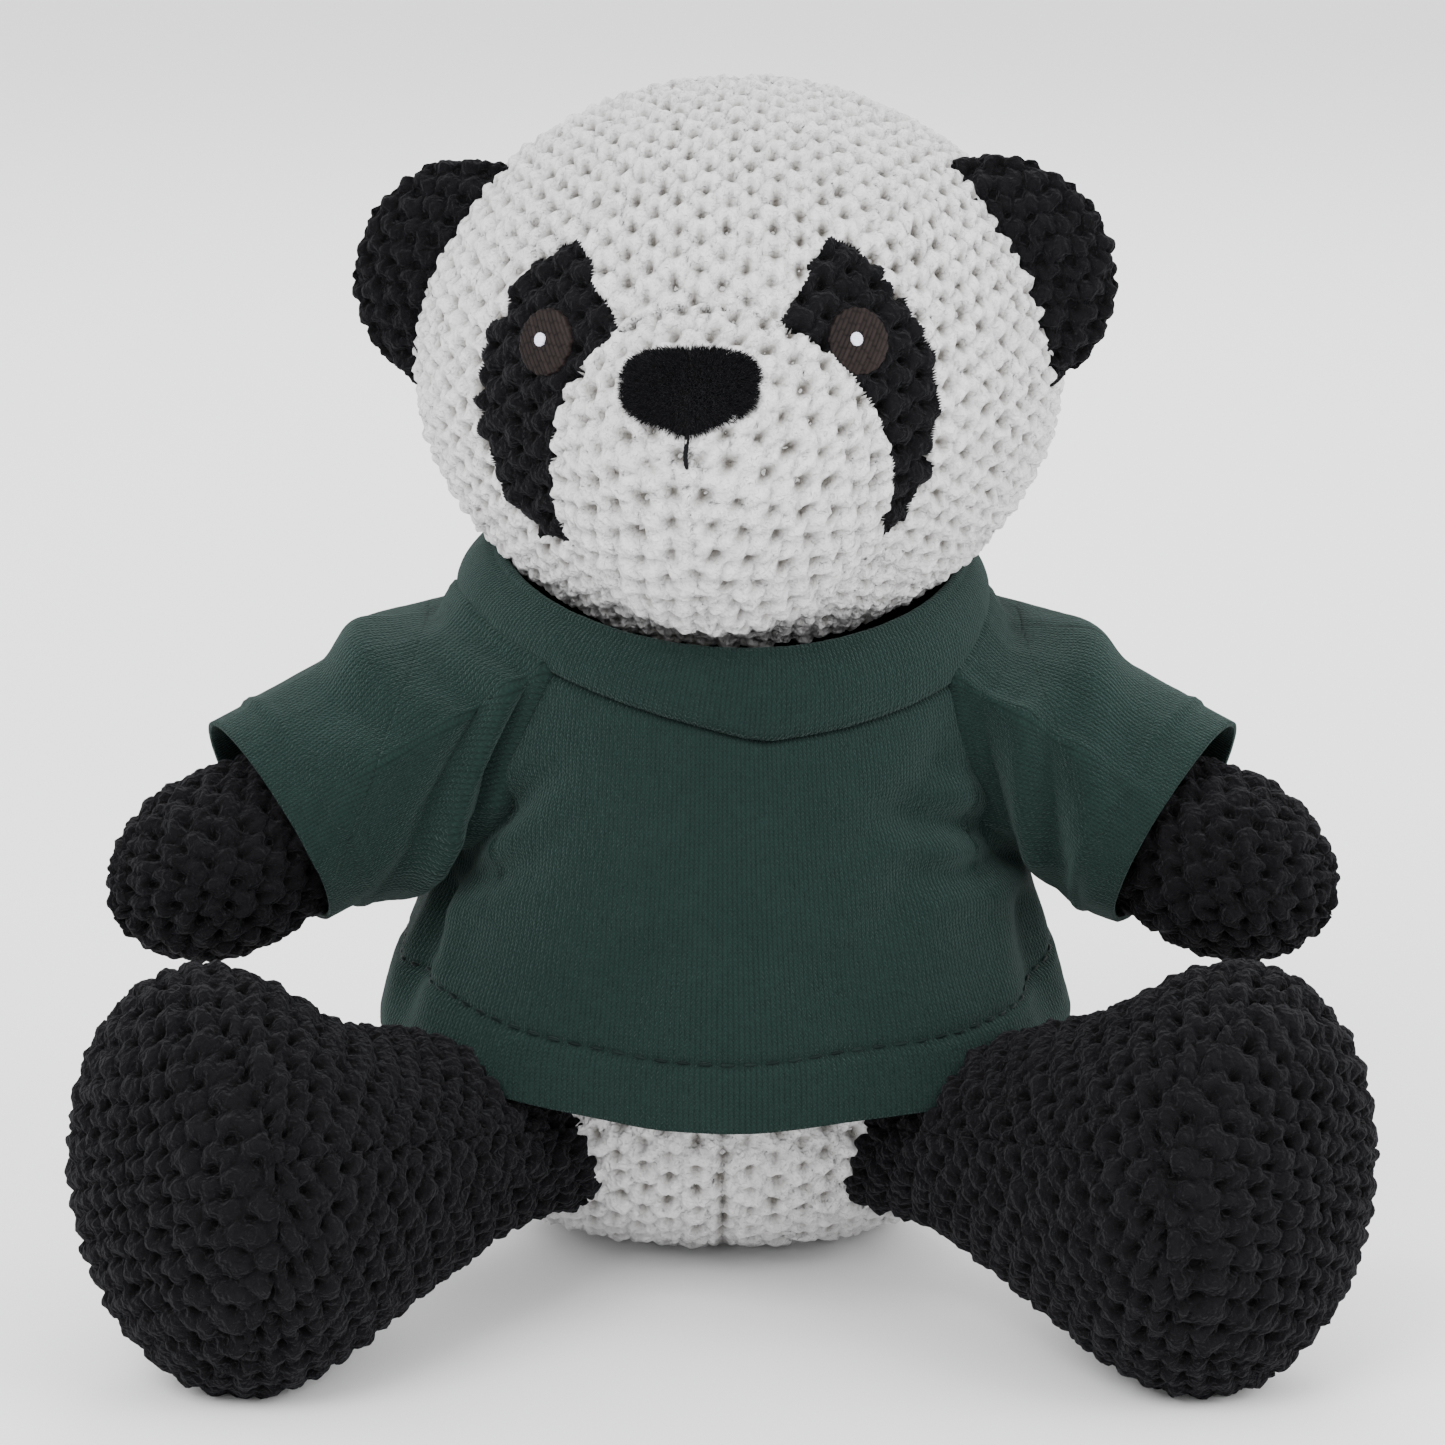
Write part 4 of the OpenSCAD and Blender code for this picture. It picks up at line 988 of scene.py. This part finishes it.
def build_sleeve(side, name):
    start = sleeve_loop(side)
    cols, rows = len(start), 72
    t = np.arange(cols) / cols
    ang = 2 * np.pi * t
    axis = unit(HAND - SHOULDER)
    arm_up = unit(np.array([0, 0, 1]) - axis[2] * axis)
    flip = np.array([side, 1, 1])
    centre = (SHOULDER + SLEEVE_END * axis + SLEEVE_LIFT * arm_up) * flip
    up, deep = (CUFF_HIGH * arm_up + 1.5 * axis) * flip, -CUFF_WIDE * np.cross(axis, arm_up) * flip
    squash = 1 + 0.05 * np.cos(3 * ang + 0.6)
    end = centre + up * (np.cos(ang) * squash)[:, None] - deep * (np.sin(ang) * squash)[:, None]
    w = np.linspace(0, 1, rows)[:, None, None]
    p = start[None] * (1 - w) + end[None] * w
    tris = grid_tris(rows, cols, True)
    if side > 0:
        tris = tris[:, ::-1]
    n = normals_of(p.reshape(-1, 3), tris).reshape(p.shape)
    w2, a2 = w[..., 0], t[None, :]
    length = np.linalg.norm(end - start, axis=1)[None, :]
    run = w2 * length

    def ridge(turn, half, at, width, high, slant=0.0):
        """A fold round part of the sleeve, from one row of FOLDS."""
        gone = np.mod(a2 - turn + 0.5, 1) - 0.5
        return high * np.exp(-(gone / half) ** 2) * np.exp(-((run - at - slant * gone) / width) ** 2)

    fold = sum(ridge(*row) for row in FOLDS[side] + FOLDS_BEHIND)
    fold = fold * ease(run / 4.0) - 0.7 * np.exp(-(run / 0.9) ** 2)
    hem = (1 - w2) * length - 7.0
    fold = fold - 0.4 * np.exp(-(hem / 0.8) ** 2) + 0.25 * ease(-hem / 1.2)
    p = p + n * fold[..., None]
    inward = unit(np.array([0, SHIRT_Y, 0]) + start * np.array([0, 0, 1]) - start)
    p = np.concatenate([[p[0] + inward * 2.6, p[0] + inward * 1.3], p])
    n = np.concatenate([n[:1], n[:1], n])
    hem = np.concatenate([hem[:1], hem[:1], hem])
    run = np.concatenate([run[:1] - 2.6, run[:1] - 1.3, run])
    rows += 2
    tris = grid_tris(rows, cols, True)
    if side > 0:
        tris = tris[:, ::-1]
    n = normals_of(p.reshape(-1, 3), tris).reshape(p.shape)
    uv = np.stack([(ang * 21)[None, :] + 0 * run, run], -1)
    pts, uvs = p.reshape(-1, 3), uv.reshape(-1, 2)
    # Painted shade at the raglan seam's tuck and along the cuff's stitch line.
    crevice_shade = np.clip(0.75 * np.exp(-(run / 0.55) ** 2) + 0.3 * np.exp(-(hem / 0.55) ** 2), 0, 0.85).ravel()
    cut_n = CUT_N * flip
    level = (pts[tris].mean(axis=1)) @ cut_n
    shoulder, arm = "shoulder_" + name, "arm_" + name
    for part, pick, bodies, lo, hi in (("upper", level < CUT_LEVEL, ("torso", shoulder), ROOT_LEVEL, CUT_LEVEL),
                                       ("lower", level >= CUT_LEVEL, (shoulder, arm), CUT_LEVEL, CUFF_LEVEL)):
        o = sheet_piece(f"sleeve_{name}_{part}", tris[pick], pts, uvs, crevice_shade)
        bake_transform(o)
        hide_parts("sleeve_" + name)
    row = np.argmin(np.abs(hem), axis=0)
    line, nn = p[row, np.arange(cols)], n[row, np.arange(cols)]
    stitches = dashes(f"sleeve_{name}_stitches", line + nn * 0.12, nn)
    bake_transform(stitches)

# ---------------------------------------------------------------- the filling
def set_in(node):
    """How far a wad keeps inside its CAD solid: furthest at the sewn joints, where the limbs turn."""
    if node[:3] in ("hip", "sho", "nec"):
        return 1.6
    if node[:3] == "ear":
        return 0.5
    return 0.9 if "torso" in node or "head" in node else 0.0

def build_fill():
    """Lumpy wads of fibre, and the bag of pellets, in the places of the plain CAD solids."""
    for body, nodes in frame["record"]["behaviour"]["bodies"].items():
        for node in nodes:
            if node[:3] in ("arm", "leg") or not any(k in node for k in ("stuffing", "wadding", "pellet")):
                continue
            bag = node == "pellet_bag"
            src = frame["nodes"][node]
            me = src.data.copy()
            o = bpy.data.objects.new(node + "_fill", me)
            bpy.context.scene.collection.objects.link(o)
            low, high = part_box(node)
            size = min(high[k] - low[k] for k in range(3))
            voxel = max(0.0005, min(0.0016, size / 9))
            r = o.modifiers.new("remesh", "REMESH")
            r.mode, r.voxel_size = "VOXEL", voxel
            dg = bpy.context.evaluated_depsgraph_get()
            new = bpy.data.meshes.new_from_object(o.evaluated_get(dg))
            o.modifiers.clear()
            o.data = new
            new.name = node + "_fill"
            co = np.empty(len(new.vertices) * 3, np.float32)
            nn = np.empty(len(new.vertices) * 3, np.float32)
            new.vertices.foreach_get("co", co)
            new.vertex_normals.foreach_get("vector", nn)
            p, n = co.reshape(-1, 3).astype(float) / MM, nn.reshape(-1, 3).astype(float)
            lump = 2.6 if bag else 5.0
            deep = min(0.9, size / MM / 14)
            h = deep * (0.6 * noise(p, lump, 91) + 0.3 * noise(p, lump / 2.3, 92) - 0.9)
            h = h - set_in(node)
            p = p + n * h[:, None]
            new.vertices.foreach_set("co", (p * MM).astype(np.float32).ravel())
            new.polygons.foreach_set("use_smooth", np.ones(len(new.polygons), bool))
            new.materials.clear()
            new.materials.append(PELLETS if bag else FILL)
            new.update()
            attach(o, body)
            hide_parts(node)

# ---------------------------------------------------------------- stage
def build_stage():
    me = bpy.data.meshes.new("floor")
    s = 6.0
    me.from_pydata([(-s, -s, 0), (s, -s, 0), (s, s, 0), (-s, s, 0)], [], [(0, 1, 2, 3)])
    floor = bpy.data.objects.new("floor", me)
    bpy.context.scene.collection.objects.link(floor)
    m = Nodes("floor_paint", 0.9)
    m.colour(m.mix(m.noise(3, 2), (0.93, 0.93, 0.935), (0.95, 0.95, 0.955)))
    me.materials.append(m.mat)
    world = bpy.data.worlds.new("studio")
    bpy.context.scene.world = world
    world.use_nodes = True
    world.node_tree.nodes["Background"].inputs[0].default_value = (1, 1, 1, 1)
    world.node_tree.nodes["Background"].inputs[1].default_value = 1.75
    for name, place, size, power in LIGHTS:
        light = bpy.data.lights.new(name, "AREA")
        light.size, light.energy = size, power
        o = bpy.data.objects.new(name, light)
        o.location = place
        o.rotation_euler = (Vector((0, 0, 0.09)) - Vector(place)).to_track_quat("-Z", "Y").to_euler()
        bpy.context.scene.collection.objects.link(o)
    cam = bpy.data.cameras.new("camera")
    cam.sensor_width, cam.lens = 36.0, CAMERA_LENS
    cam.clip_start, cam.clip_end = 0.05, 20
    o = bpy.data.objects.new("camera", cam)
    o.location = CAMERA_PLACE
    o.rotation_euler = (Vector(CAMERA_TARGET) - o.location).to_track_quat("-Z", "Y").to_euler()
    bpy.context.scene.collection.objects.link(o)
    bpy.context.scene.camera = o

build_stage()
build_head()
for SIDE, NAME in ((-1, "left"), (1, "right")):
    ear_skins(SIDE, NAME)
    satin_disc(f"iris_{NAME}_thread", SIDE, f"iris_{NAME}",
               4.3, 5.0, 0.85, 0.3, -28 * SIDE, 0.62, BROWN)
    satin_disc(f"glint_{NAME}_thread", SIDE, f"glint_{NAME}",
               0.85, 1.0, 1.4, 0.35, 90, 0.26, BLUE_WHITE, centre=(-0.45, 0.25), grain=0.06)
    build_arm(SIDE, NAME)
    build_leg(SIDE, NAME)
    build_sleeve(SIDE, NAME)
build_nose()
build_torso()
build_body_shirt()
build_collar()
build_fill()
